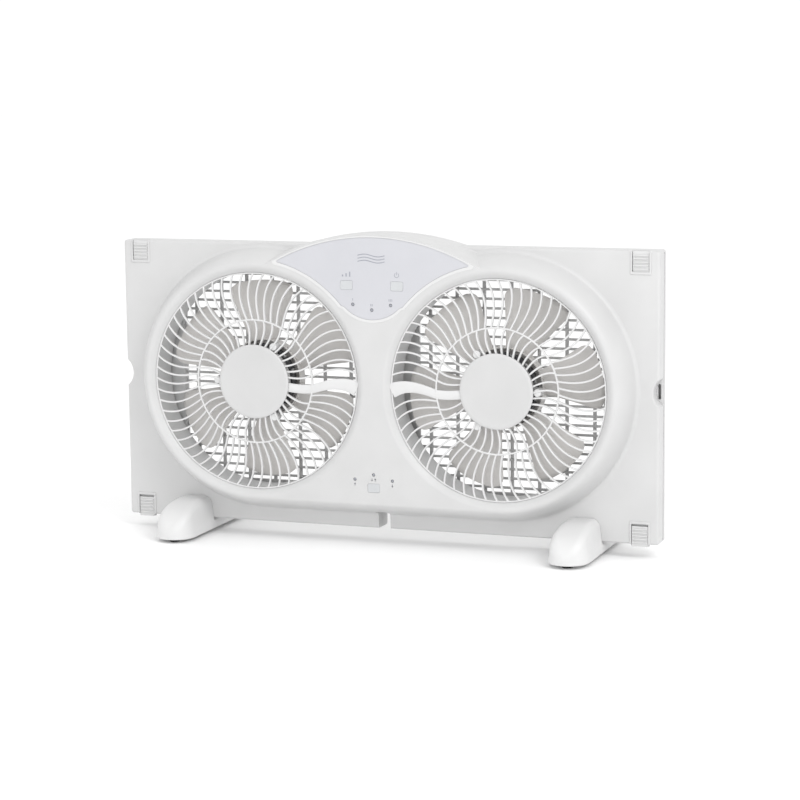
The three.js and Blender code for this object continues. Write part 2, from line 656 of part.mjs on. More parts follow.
const SHAFT_HOLE = SHAFT_RADIUS + GAP;
const BUSH_RADIUS = 5.5;
const BUSH_BORE = (SHAFT_RADIUS + RUNNING_GAP) / Math.cos(Math.PI / ROUND);
const ROTOR_RADIUS = 18;

function motorFrontCap(mirror) {
  const body = disc(0, 0, RIB_BACK + GAP, FRONT_CAP_BACK, MOTOR_RADIUS - 3, MOTOR_RADIUS - 2, 24);
  const rootShare = (MOTOR_RADIUS - 0.3) / MOTOR_BOSS_CIRCLE;
  const ears = motorBosses(mirror).map((p) => {
    const arm = disc(p.x, p.y, BOSS_BACK + GAP, EAR_BACK, 4.5, 4.5, 8);
    const root = disc(p.x * rootShare, p.y * rootShare, BOSS_BACK + GAP, EAR_BACK, 4.5, 4.5, 8);
    return arm.add(root);
  });
  const holes = motorBosses(mirror).map((p) =>
    disc(p.x, p.y, BOSS_BACK, EAR_BACK + 1, SCREW_RADIUS + GAP, SCREW_RADIUS + GAP, 8));
  return cut(union([body, ...ears]), [...holes, disc(0, 0, RIB_BACK + 3, FRONT_CAP_BACK + 1, SHAFT_HOLE)]);
}

function motorScrew(place) {
  return disc(place.x, place.y, EAR_BACK + GAP, EAR_BACK + GAP + 1.8, 3, 3, 8)
    .add(disc(place.x, place.y, RIB_FRONT + 4, EAR_BACK + GAP + 0.5, SCREW_RADIUS, SCREW_RADIUS, 6));
}

function motorStator() {
  const y0 = FRONT_CAP_BACK + GAP;
  const teeth = 12;
  const pitch = 360 / teeth;
  const outline = [];
  for (let k = 0; k < teeth; k++) {
    outline.push(polar((k - 0.35) * pitch, MOTOR_RADIUS), polar((k + 0.35) * pitch, MOTOR_RADIUS));
    outline.push(polar((k + 0.38) * pitch, MOTOR_RADIUS - 5), polar((k + 0.62) * pitch, MOTOR_RADIUS - 5));
  }
  return prismY(new THREE.Shape(outline), y0, STATOR_BACK)
    .subtract(disc(0, 0, y0 - 1, STATOR_BACK + 1, ROTOR_RADIUS + 0.8));
}

function motorRotor() {
  return tube(0, 0, FRONT_CAP_BACK + 1, STATOR_BACK - 0.7, ROTOR_RADIUS, SHAFT_HOLE);
}

function motorRearCap() {
  const body = disc(0, 0, STATOR_BACK + GAP, REAR_CAP_BACK, MOTOR_RADIUS - 2, MOTOR_RADIUS - 7, 24);
  const seat = disc(0, 0, REAR_CAP_BACK - 4, REAR_CAP_BACK + 1, BUSH_RADIUS + GAP, BUSH_RADIUS + GAP);
  return cut(body, [seat, disc(0, 0, STATOR_BACK - 1, REAR_CAP_BACK, SHAFT_HOLE)]);
}

function motorBush() {
  return tube(0, 0, REAR_CAP_BACK - 4 + GAP, REAR_CAP_BACK, BUSH_RADIUS, BUSH_BORE);
}

function motorShaft() {
  return disc(0, 0, RIB_BACK + 5, SHAFT_BACK, SHAFT_RADIUS);
}

// One blade: a slab bent so that it climbs backwards along its arc.
function blade(middle) {
  const geometry = new THREE.BoxGeometry(1, 1, 1, 4, 1, 2);
  const points = geometry.attributes.position;
  for (let i = 0; i < points.count; i++) {
    const along = points.getX(i);
    const across = points.getZ(i) + 0.5;
    const radius = THREE.MathUtils.lerp(CUP_RADIUS - 1, BLADE_TIP_RADIUS, across);
    const spread = BLADE_SPAN * (0.86 + 0.14 * across);
    const p = polar(middle - along * spread, radius);
    const travel = BLADE_AXIAL - BLADE_THICKNESS - 2;
    const y = BLADE_FRONT + BLADE_AXIAL / 2 + along * travel + points.getY(i) * BLADE_THICKNESS;
    points.setXYZ(i, p.x, y, p.y);
  }
  return toSolid(geometry);
}

function impeller() {
  const cup = disc(0, 0, CUP_FRONT, CUP_BACK, CUP_RADIUS, CUP_RADIUS, 30)
    .subtract(disc(0, 0, CUP_FRONT - 1, CUP_BACK - 2.5, CUP_INNER_RADIUS, CUP_INNER_RADIUS, 30));
  const boss = disc(0, 0, REAR_CAP_BACK + 1, CUP_BACK, 8);
  const blades = [];
  for (let k = 0; k < BLADE_COUNT; k++) blades.push(blade((k * 360) / BLADE_COUNT));
  const bore = disc(0, 0, REAR_CAP_BACK, CUP_BACK + 1, SHAFT_HOLE);
  return cut(union([cup, boss, ...blades]), [bore]);
}

function bladeNut() {
  const body = disc(0, 0, CUP_BACK + GAP, SHAFT_BACK - 1, 6.5, 6.5, 6);
  return body.subtract(disc(0, 0, CUP_BACK, SHAFT_BACK, SHAFT_HOLE));
}

// ---- Extenders, locks, controls and feet --------------------------------------------

function extender(side) {
  const z0 = PANEL_LIFT + WALL + SLIDE_GAP;
  const z1 = PANEL_TOP - WALL - SLIDE_GAP;
  const place = (x0, x1, y0, y1, low, high) => {
    const [a, b] = [side * x0, side * x1].sort((m, n) => m - n);
    return box(a, b, y0, y1, low, high);
  };
  const plate = place(EXTENDER_INNER, EXTENDER_OUTER, EXTENDER_FRONT, EXTENDER_BACK, z0, z1);
  const lip = place(EXTENDER_INNER, EXTENDER_INNER + STOP_THICKNESS, EXTENDER_BACK - 1,
    REAR_GRILLE_FRONT - GAP, FAN_Z - STOP_HALF_HEIGHT + 5, FAN_Z + STOP_HALF_HEIGHT - 5);
  const finger = place(EXTENDER_OUTER - 5, EXTENDER_OUTER - 1.8, EXTENDER_FRONT - 1,
    EXTENDER_BACK + 1, FAN_Z - 8, FAN_Z + 8);
  return plate.add(lip).subtract(finger);
}

function windowLock({ x, up }) {
  const outer = lockOuterEdge(up);
  const inner = outer - up * LOCK_LENGTH;
  const [z0, z1] = [inner, outer].sort((a, b) => a - b);
  const half = LOCK_WIDTH / 2;
  const plate = box(x - half, x + half, LOCK_FRONT + 1, LOCK_BACK, z0, z1);
  const flange = box(x - half - LOCK_FLANGE, x + half + LOCK_FLANGE, LOCK_LEDGE, LOCK_BACK, z0, z1);
  const ribs = [];
  for (let k = 0; k < 5; k++) {
    const z = inner + up * (3 + k * 3.5);
    ribs.push(box(x - half, x + half, LOCK_FRONT - 0.3, LOCK_FRONT + 1.2, z - 0.9, z + 0.9));
  }
  return union([plate, flange, ...ribs]);
}

function button(place) {
  return buttonHole(place, 0, FASCIA_FRONT, BUTTON_BACK)
    .add(buttonHole(place, BUTTON_FLANGE, BUTTON_BACK - 1, BUTTON_BACK));
}

function lamp([x, z]) {
  return disc(x, z, FASCIA_FRONT - 0.1, BOARD_FRONT - GAP, LAMP_RADIUS, LAMP_RADIUS, 12);
}

function controlFascia() {
  const plate = prismY(new THREE.Shape(fasciaOutline(0)), FASCIA_FRONT, FASCIA_FRONT + FASCIA_THICKNESS);
  return cut(plate, controlHoles(FRONT - 1, FASCIA_FLOOR));
}

function boardWithSwitches(x0, x1, z0, z1, places) {
  const board = box(x0, x1, BOARD_FRONT, BOARD_FRONT + BOARD_THICKNESS, z0, z1);
  const switches = places.map(([x, z]) =>
    box(x - 3, x + 3, BUTTON_BACK + BUTTON_TRAVEL + GAP, BOARD_FRONT + 0.5, z - 3, z + 3));
  return union([board, ...switches]);
}

function footProfile() {
  const end = FOOT_LENGTH / 2;
  const low = PAD_HEIGHT;
  const nose = low + 7;
  const crown = end * 0.38;
  const rise = FOOT_HEIGHT - nose;
  const dome = [];
  const steps = 6;
  for (let i = 0; i <= steps; i++) {
    const t = radians((90 * i) / steps);
    dome.push([-crown - (end - crown) * Math.cos(t), nose + rise * Math.sin(t)]);
  }
  const seat = PANEL_LIFT - GAP;
  const frontSide = [[-end + 3, low], ...dome, [PANEL_FRONT - GAP, FOOT_HEIGHT], [PANEL_FRONT - GAP, seat]];
  const backSide = [[PANEL_BACK + GAP, seat], [PANEL_BACK + GAP, FOOT_HEIGHT]];
  const backDome = dome.map(([y, z]) => [-y, z]).reverse();
  const points = [...frontSide, ...backSide, ...backDome, [end - 3, low]];
  return new THREE.Shape(points.map(([y, z]) => new THREE.Vector2(y, z)));
}

function footPlan(x) {
  const half = FOOT_WIDTH / 2;
  const nose = 30;
  const straight = FOOT_LENGTH / 2 - nose;
  const points = [];
  for (const end of [-1, 1])
    for (let i = 0; i <= 8; i++) {
      const t = radians((180 * i) / 8);
      points.push(new THREE.Vector2(x - end * half * Math.cos(t), end * (straight + nose * Math.sin(t))));
    }
  return new THREE.Shape(points);
}

function foot(side) {
  const x = side * FOOT_OFFSET;
  const taper = new THREE.Shape([
    [-FOOT_WIDTH / 2, 0], [FOOT_WIDTH / 2, 0],
    [FOOT_TOP_WIDTH / 2, FOOT_HEIGHT + 1], [-FOOT_TOP_WIDTH / 2, FOOT_HEIGHT + 1],
  ].map(([u, z]) => new THREE.Vector2(x + u, z)));
  const body = prismX(footProfile(), x - FOOT_WIDTH / 2 - 1, x + FOOT_WIDTH / 2 + 1)
    .intersect(prismZ(footPlan(x), 0, FOOT_HEIGHT + 1))
    .intersect(prismY(taper, -FOOT_LENGTH, FOOT_LENGTH));
  const sockets = [-1, 1].map((end) => padSolid(x, end * PAD_OFFSET, GAP));
  return cut(body, sockets);
}

const PAD_OFFSET = FOOT_LENGTH / 2 - 14;
const PAD_SOCKET = 1;

function padSolid(x, y, extra) {
  const radius = PAD_RADIUS + extra;
  const height = PAD_HEIGHT + PAD_SOCKET + extra;
  const geometry = new THREE.CylinderGeometry(radius, radius, height, 16);
  return toSolid(geometry.rotateX(Math.PI / 2).translate(x, y, height / 2));
}

// ---- Assembly -----------------------------------------------------------------------

function finish(color, roughness, metalness = 0) {
  return new THREE.MeshStandardMaterial({ color, roughness, metalness });
}

const WHITE = finish(0xeeeeec, 0.45);
const BLADE_WHITE = finish(0xdcdad6, 0.5);
const FASCIA_GREY = finish(0xdedee4, 0.4);
const RUBBER = finish(0x1c1c1c, 0.8);
const STEEL = finish(0xb8bac0, 0.3, 0.9);
const LAMINATION = finish(0x45464a, 0.5, 0.6);
const ALUMINIUM = finish(0xc9cacc, 0.45, 0.8);
const BRONZE = finish(0xa8803c, 0.4, 0.8);
const BOARD_GREEN = finish(0x2f6b46, 0.6);
const LAMP_DARK = finish(0x35363a, 0.3);

const fan = new THREE.Group();
fan.name = "twin_window_fan";

function add(parent, name, solid, material) {
  const mesh = solid.getMesh();
  const count = mesh.numProp;
  const positions = new Float32Array(mesh.numVert * 3);
  for (let i = 0; i < mesh.numVert; i++)
    positions.set(mesh.vertProperties.subarray(i * count, i * count + 3), i * 3);
  const geometry = new THREE.BufferGeometry();
  geometry.setAttribute("position", new THREE.BufferAttribute(positions, 3));
  geometry.setIndex(new THREE.BufferAttribute(mesh.triVerts, 1));
  geometry.computeVertexNormals();
  const piece = new THREE.Mesh(geometry, material);
  piece.name = name;
  parent.add(piece);
  return piece;
}

function addFan(end, side, restAngle) {
  const unit = new THREE.Group();
  unit.position.set(side * FAN_X, 0, FAN_Z);
  fan.add(unit);
  const mirror = side > 0;
  add(unit, "front_grille_" + end, frontGrille(mirror), WHITE);
  add(unit, "hub_cover_" + end, hubCover(), WHITE);
  add(unit, "rear_grille_" + end, rearGrille(), WHITE);
  add(unit, "motor_front_cap_" + end, motorFrontCap(mirror), ALUMINIUM);
  add(unit, "motor_stator_" + end, motorStator(), LAMINATION);
  add(unit, "motor_rear_cap_" + end, motorRearCap(), ALUMINIUM);
  add(unit, "motor_bush_" + end, motorBush(), BRONZE);
  motorBosses(mirror).forEach((place, i) => {
    add(unit, "motor_screw_" + end + "_" + (i + 1), motorScrew(place), STEEL);
  });
  const spinner = new THREE.Group();
  spinner.rotation.y = -radians(restAngle);
  unit.add(spinner);
  add(spinner, "motor_shaft_" + end, motorShaft(), STEEL);
  add(spinner, "motor_rotor_" + end, motorRotor(), LAMINATION);
  add(spinner, "impeller_" + end, impeller(), BLADE_WHITE);
  add(spinner, "blade_nut_" + end, bladeNut(), BLADE_WHITE);
}

add(fan, "front_housing", frontHousing(), WHITE);
add(fan, "rear_housing", rearHousing(), WHITE);
addFan("left", -1, 32);
addFan("right", 1, 9);
add(fan, "control_fascia", controlFascia(), FASCIA_GREY);
for (const [name, place] of Object.entries(BUTTONS)) add(fan, name, button(place), FASCIA_GREY);
for (const [name, place] of Object.entries(LAMPS)) add(fan, name, lamp(place), LAMP_DARK);
const [, topButtonZ] = BUTTONS.speed_button;
add(fan, "speed_board", boardWithSwitches(-33, 33, SPEED_LAMP_Z - LAMP_STEP - 3, topButtonZ + 12,
  [BUTTONS.speed_button, BUTTONS.off_button]), BOARD_GREEN);
const [, lowButtonZ] = BUTTONS.function_button;
add(fan, "function_board", boardWithSwitches(-27, 27, lowButtonZ - 7, MODE_LAMP_Z + 10,
  [BUTTONS.function_button]), BOARD_GREEN);
for (const [end, side] of [["left", -1], ["right", 1]]) {
  add(fan, "extender_" + end, extender(side), WHITE);
  add(fan, "foot_" + end, foot(side), WHITE);
  for (const [where, along] of [["front", -1], ["rear", 1]]) {
    const pad = padSolid(side * FOOT_OFFSET, along * PAD_OFFSET, 0);
    add(fan, "foot_pad_" + where + "_" + end, pad, RUBBER);
  }
}
for (const [name, place] of Object.entries(lockPlaces())) add(fan, name, windowLock(place), WHITE);
for (const [name, [x, z]] of Object.entries(screwPlaces()))
  add(fan, "housing_screw_" + name, housingScrew(x, z), STEEL);
add(fan, "cord_gland", cordGland(), RUBBER);

export default fan;
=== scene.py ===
"""Twin window fan on two feet: the finished looks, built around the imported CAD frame.

Lengths in this script are millimetres, and every mesh is written in metres. X runs along the
width, Y from front to back and Z up, as in the frame.
"""
import math

import bmesh
import bpy
from mathutils import Matrix, Vector
from mathutils.geometry import delaunay_2d_cdt


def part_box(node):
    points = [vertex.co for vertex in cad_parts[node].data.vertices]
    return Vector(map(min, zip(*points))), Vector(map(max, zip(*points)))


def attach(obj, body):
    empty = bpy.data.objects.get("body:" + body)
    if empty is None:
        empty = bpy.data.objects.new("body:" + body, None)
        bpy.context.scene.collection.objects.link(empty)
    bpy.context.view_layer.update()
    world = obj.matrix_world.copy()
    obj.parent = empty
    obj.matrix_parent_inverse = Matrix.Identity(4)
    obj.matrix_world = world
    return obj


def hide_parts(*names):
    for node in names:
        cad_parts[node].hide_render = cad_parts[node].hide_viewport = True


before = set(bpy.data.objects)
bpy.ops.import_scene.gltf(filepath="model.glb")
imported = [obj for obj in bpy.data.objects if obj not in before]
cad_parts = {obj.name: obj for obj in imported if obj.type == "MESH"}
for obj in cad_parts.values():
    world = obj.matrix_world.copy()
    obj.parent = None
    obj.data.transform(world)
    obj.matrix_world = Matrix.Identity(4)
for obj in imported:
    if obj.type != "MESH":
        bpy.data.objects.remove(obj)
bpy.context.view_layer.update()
MM = 0.001


def span(node):
    """Lowest and highest corner of a CAD node, in millimetres."""
    low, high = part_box(node)
    return [v / MM for v in low], [v / MM for v in high]


def middle(node):
    low, high = span(node)
    return [(a + b) / 2 for a, b in zip(low, high)]


# ---- Sizes read from the frame ------------------------------------------------------

SHELL_LOW, SHELL_HIGH = span("front_housing")
PANEL_END = SHELL_HIGH[0]
FRONT = SHELL_LOW[1]
FRONT_RIM = SHELL_HIGH[1]
PANEL_LIFT = SHELL_LOW[2]
HUMP_TOP = SHELL_HIGH[2]
REAR_JOIN = span("rear_housing")[0][1]
PANEL_BACK = span("rear_housing")[1][1]
FAN_X, _, FAN_Z = middle("hub_cover_right")
HUB_LOW, HUB_HIGH = span("hub_cover_right")
HUB_RADIUS = (HUB_HIGH[0] - HUB_LOW[0]) / 2
EXTENDER_LOW, EXTENDER_HIGH = span("extender_right")
GRILLE_LOW, GRILLE_HIGH = span("front_grille_right")
FOOT_LOW, FOOT_HIGH = span("foot_right")
FASCIA_LOW, FASCIA_HIGH = span("control_fascia")
REAR_GRILLE_LOW, REAR_GRILLE_HIGH = span("rear_grille_right")
IMPELLER_LOW, IMPELLER_HIGH = span("impeller_right")
STATOR_LOW, STATOR_HIGH = span("motor_stator_right")

# ---- Sizes of the mouldings ---------------------------------------------------------

GAP = 0.3
SLIDE_GAP = 0.4
FINE_GAP = 0.08  # hairline round the grilles and the fascia
WALL = 2.5
BULGE_HEIGHT = 32
BULGE_RUN = 16.5
LIP_WIDTH = 8.5
LIP_DEPTH = 5
HUMP_FRONT_RADIUS = 231.5
HUMP_BACK_RADIUS = 300
FASCIA_ARC_RADIUS = 229
FASCIA_MARGIN = 7
FASCIA_DROP = 2.5  # from the top of the hump to the top of the fascia
BOWL_RADIUS = 42.6  # the arc that closes the fascia below
BOWL_DROP = 32.6
BEAD_WIDTH = 3.2  # raised bead round the control fascia
BEAD_RISE = 0.4
PANEL_EDGE = 2.5  # rounding of the panel's outer edges
PANEL_CORNER = 3
RING_RADIUS = 66
RIB_HALF = 0.95
ROTOR_RADIUS = 18
STATOR_BORE = 18.8
SHAFT_RADIUS = 3
ARM_HALF = 4.7  # half width of the arm that carries the motor's wires
OUTER_RIBS = 60
INNER_RIBS = 40
WINDOW_WIDTH = 204
WINDOW_HEIGHT = 236
REAR_RIM = 4  # frame of the rear grille, outside its window
SLAT_PITCH = 10
SLAT_THICKNESS = 2.8
SLAT_DEPTH = 2.5
BAR_PITCH = 30
BAR_WIDTH = 4
NOTCH_DEPTH = 7
NOTCH_HALF_HEIGHT = 14.5
CORD_NOTCH_HALF_WIDTH = 6.6
CORD_NOTCH_HEIGHT = 20.4
BLADE_COUNT = 6
BLADE_SPAN = 42  # degrees of arc that a blade fills
BLADE_TIP_GAP = 10.5
BLADE_HALF_THICKNESS = 0.95
CUP_RADIUS = 43  # the impeller's hub, which covers the motor's rear
SHAFT_HOLE = 3.3
EXTENDER_THICKNESS = 3
EXTENDER_TRAVEL = 46
STOP_THICKNESS = 2
STOP_HALF_HEIGHT = 50
SCREW_BOSS_RADIUS = 4.2
SCREW_HOLE_RADIUS = 1.8
BUTTON_FLANGE = 2  # the flange that keeps a button behind its hole
FOOT_SLOT_EDGE = 1.2  # rounding beside the slot that the panel stands in
FOOT_NOSE = 26
FOOT_NOSE_HEIGHT = 7
FOOT_TAPER = 0.24
FOOT_STEPS = 44

PANEL_FRONT = FRONT + BULGE_HEIGHT
PANEL_TOP = EXTENDER_HIGH[2] + WALL + SLIDE_GAP
OPENING_RADIUS = (GRILLE_HIGH[0] - GRILLE_LOW[0]) / 2 + GAP
CREST_RADIUS = OPENING_RADIUS + LIP_WIDTH
BASE_RADIUS = CREST_RADIUS + BULGE_RUN
BASE_LOW = FAN_Z - BASE_RADIUS
OPENING_FRONT = FRONT + LIP_DEPTH
RIB_BACK = OPENING_FRONT + 1.1
BOSS_BACK = RIB_BACK + 5
DUCT_BACK = IMPELLER_HIGH[1] + 1.5
REAR_PLATE = PANEL_BACK - WALL
EXTENDER_REST_BACK = EXTENDER_LOW[1] + EXTENDER_THICKNESS + SLIDE_GAP
MOTOR_RADIUS = (STATOR_HIGH[0] - STATOR_LOW[0]) / 2
BOSS_CIRCLE = MOTOR_RADIUS + 5
BOSS_ANGLES = (60, 180, 300)
NOTCH_RADIUS = (NOTCH_HALF_HEIGHT**2 + NOTCH_DEPTH**2) / (2 * NOTCH_DEPTH)
REST_ANGLE = {"left": 32, "right": 9}
SIDES = (("left", -1), ("right", 1))
BUTTONS = ("speed_button", "off_button", "function_button")
SPEED_LAMPS = ("speed_lamp_low", "speed_lamp_medium", "speed_lamp_high")
MODE_LAMPS = ("mode_lamp_left", "mode_lamp_middle", "mode_lamp_right")
LOCKS = [f"window_lock_{edge}_{end}" for edge in ("upper", "lower") for end in ("left", "right")]
SCREWS = [f"housing_screw_{edge}_{end}" for edge in ("upper", "lower") for end in ("left", "right")]


# ---- Outlines -----------------------------------------------------------------------


def polar(degrees, radius):
    turn = math.radians(degrees)
    return (math.cos(turn) * radius, math.sin(turn) * radius)


def arc(x, z, radius, start, end, steps):
    points = []
    for i in range(steps + 1):
        u, v = polar(start + (end - start) * i / steps, radius)
        points.append((x + u, z + v))
    return points


def circle(x, z, radius, steps=64):
    return arc(x, z, radius, 0, 360, steps)[:-1]


def mix(a, b, share):
    return a + (b - a) * share


def area(outline):
    total = 0
    for (x0, z0), (x1, z1) in zip(outline, outline[1:] + outline[:1]):
        total += x0 * z1 - x1 * z0
    return total / 2


def offset(outline, inward):
    """The outline moved inwards, or outwards when inward is negative."""
    sign = 1 if area(outline) > 0 else -1
    moved = []
    count = len(outline)
    for i, (x, z) in enumerate(outline):
        before = Vector(outline[i]) - Vector(outline[i - 1])
        after = Vector(outline[(i + 1) % count]) - Vector(outline[i])
        n0 = Vector((-before.y, before.x)).normalized() * sign
        n1 = Vector((-after.y, after.x)).normalized() * sign
        bisector = n0 + n1
        if bisector.length < 1e-6:
            bisector = n0.copy()
        bisector.normalize()
        reach = inward / max(0.3, bisector.dot(n1))
        moved.append((x + bisector.x * reach, z + bisector.y * reach))
    return moved


def rounded(points, radius, steps=5, closed=True):
    """The corners of an outline replaced by arcs."""
    result = []
    count = len(points)
    for i, point in enumerate(points):
        if not closed and i in (0, count - 1):
            result.append(tuple(point))
            continue
        corner = Vector(point)
        before = Vector(points[i - 1]) - corner
        after = Vector(points[(i + 1) % count]) - corner
        turn = before.angle(after)
        if turn > math.pi - 0.02:
            result.append(tuple(point))
            continue
        reach = min(radius / math.tan(turn / 2), before.length * 0.49, after.length * 0.49)
        start = corner + before.normalized() * reach
        end = corner + after.normalized() * reach
        bend = reach * math.tan(turn / 2)
        centre = corner + (before.normalized() + after.normalized()).normalized() * (
            bend / math.sin(turn / 2)
        )
        a = start - centre
        b = end - centre
        sweep = a.angle_signed(b)
        for k in range(steps + 1):
            spin = Matrix.Rotation(-sweep * k / steps, 2)
            result.append(tuple(centre + spin @ a))
    return result


def rectangle(x0, x1, z0, z1, corner=0.0, steps=5):
    points = [(x0, z0), (x1, z0), (x1, z1), (x0, z1)]
    return rounded(points, corner, steps) if corner else points


def quarter(edge, steps):
    """Inset and depth along a rounded edge, from the flat face to the side wall."""
    if not edge:
        return [(0, 0)]
    return [
        (edge * (1 - math.sin(math.pi / 2 * k / steps)), edge * (1 - math.cos(math.pi / 2 * k / steps)))
        for k in range(steps + 1)
    ]


def crossing(ring, radius, z, way):
    """Angle about the right fan's axis at which its ring crosses a circle centred over X = 0."""
    dz = z - FAN_Z
    distance = math.hypot(FAN_X, dz)
    along = (distance**2 + ring**2 - radius**2) / (2 * distance * ring)
    spread = math.acos(max(-1, min(1, along)))
    return math.degrees(math.atan2(dz, -FAN_X) + way * spread)


def meeting_angle(ring, hump, top):
    """Angle at which a fan's ring meets the hump's arc."""
    return crossing(ring, hump, top - hump, -1) + 360


RING_STEPS = 76
SHOULDER_STEPS = 5
CROWN_STEPS = 36
BOTTOM_STEPS = 24


def hump_edge_share():
    """Where the hump's arc crosses the panel's upper edge, as a share of its half angle."""
    centre = HUMP_TOP - HUMP_BACK_RADIUS
    meet = meeting_angle(BASE_RADIUS, HUMP_BACK_RADIUS, HUMP_TOP)
    u, v = polar(meet, BASE_RADIUS)
    half = math.atan2(FAN_X + u, FAN_Z + v - centre)
    return math.acos((PANEL_TOP - centre) / HUMP_BACK_RADIUS) / half


def twin_outline(ring, hump, top):
    """Both fan circles joined by an arc above and a straight line below, anticlockwise."""
    meet = meeting_angle(ring, hump, top)
    right = arc(FAN_X, FAN_Z, ring, -90, meet, RING_STEPS)
    centre = top - hump
    half = math.degrees(math.atan2(right[-1][0], right[-1][1] - centre))
    edge = hump_edge_share()
    shares = [mix(1, edge, k / SHOULDER_STEPS) for k in range(1, SHOULDER_STEPS + 1)]
    shares += [mix(edge, -edge, k / CROWN_STEPS) for k in range(1, CROWN_STEPS + 1)]
    shares += [mix(-edge, -1, k / SHOULDER_STEPS) for k in range(1, SHOULDER_STEPS)]
    crown = []
    for share in shares:
        u, v = polar(90 - half * share, hump)
        crown.append((u, centre + v))
    left = [(-x, z) for x, z in reversed(right)]
    low = right[0][1]
    reach = right[0][0]
    bottom = [(mix(-reach, reach, k / BOTTOM_STEPS), low) for k in range(1, BOTTOM_STEPS)]
    return right + crown + left + bottom


CROWN_FIRST = RING_STEPS + SHOULDER_STEPS
CROWN_LAST = CROWN_FIRST + CROWN_STEPS


def panel_outline(inset, hump=False):
    """The panel's rectangle, with the hump's arc over its upper edge when asked."""
    end = PANEL_END - inset
    low = PANEL_LIFT + inset
    top = PANEL_TOP - inset
    corners = rounded([(-end, top), (-end, low), (end, low), (end, top)], PANEL_CORNER)
    if not hump:
        return corners
    centre = HUMP_TOP - HUMP_BACK_RADIUS
    radius = HUMP_BACK_RADIUS - inset
    half = math.degrees(math.acos((top - centre) / radius))
    return corners + arc(0, centre, radius, 90 - half, 90 + half, 40)


def fascia_outline(extra):
    """The fascia between the fans: the rings' sides, the hump's arc above and a bowl below."""
    side = CREST_RADIUS + FASCIA_MARGIN - extra
    top = HUMP_TOP - FASCIA_DROP + extra
    centre = top - FASCIA_ARC_RADIUS
    bowl_z = PANEL_TOP - BOWL_DROP
    bowl = BOWL_RADIUS + extra
    touch = crossing(side, bowl, bowl_z, 1)
    u, v = polar(touch, side)
    bowl_angle = math.degrees(math.atan2(FAN_Z + v - bowl_z, FAN_X + u))
    meet = meeting_angle(side, FASCIA_ARC_RADIUS, top)
    right = list(reversed(arc(FAN_X, FAN_Z, side, touch, meet, 28)))
    bottom = arc(0, bowl_z, bowl, bowl_angle, -180 - bowl_angle, 24)[1:-1]
    left = [(-x, z) for x, z in reversed(right)]
    half = math.degrees(math.atan2(right[0][0], right[0][1] - centre))
    crown = arc(0, centre, FASCIA_ARC_RADIUS, 90 + half, 90 - half, 40)[1:-1]
    return soft_tips(right + bottom + left + crown, (right[0], left[-1]), 1.6 + extra)


def soft_tips(points, tips, radius):
    """Rounds the two pointed ends of an outline."""
    kept = [p for p in points if min(math.dist(p, tip) for tip in tips) > 3 * radius or p in tips]
    result = []
    for i, point in enumerate(kept):
        if point not in tips:
            result.append(point)
            continue
        trio = [kept[i - 1], point, kept[(i + 1) % len(kept)]]
        result.extend(rounded(trio, radius, 6, closed=False)[1:-1])
    return result


# ---- Solids -------------------------------------------------------------------------


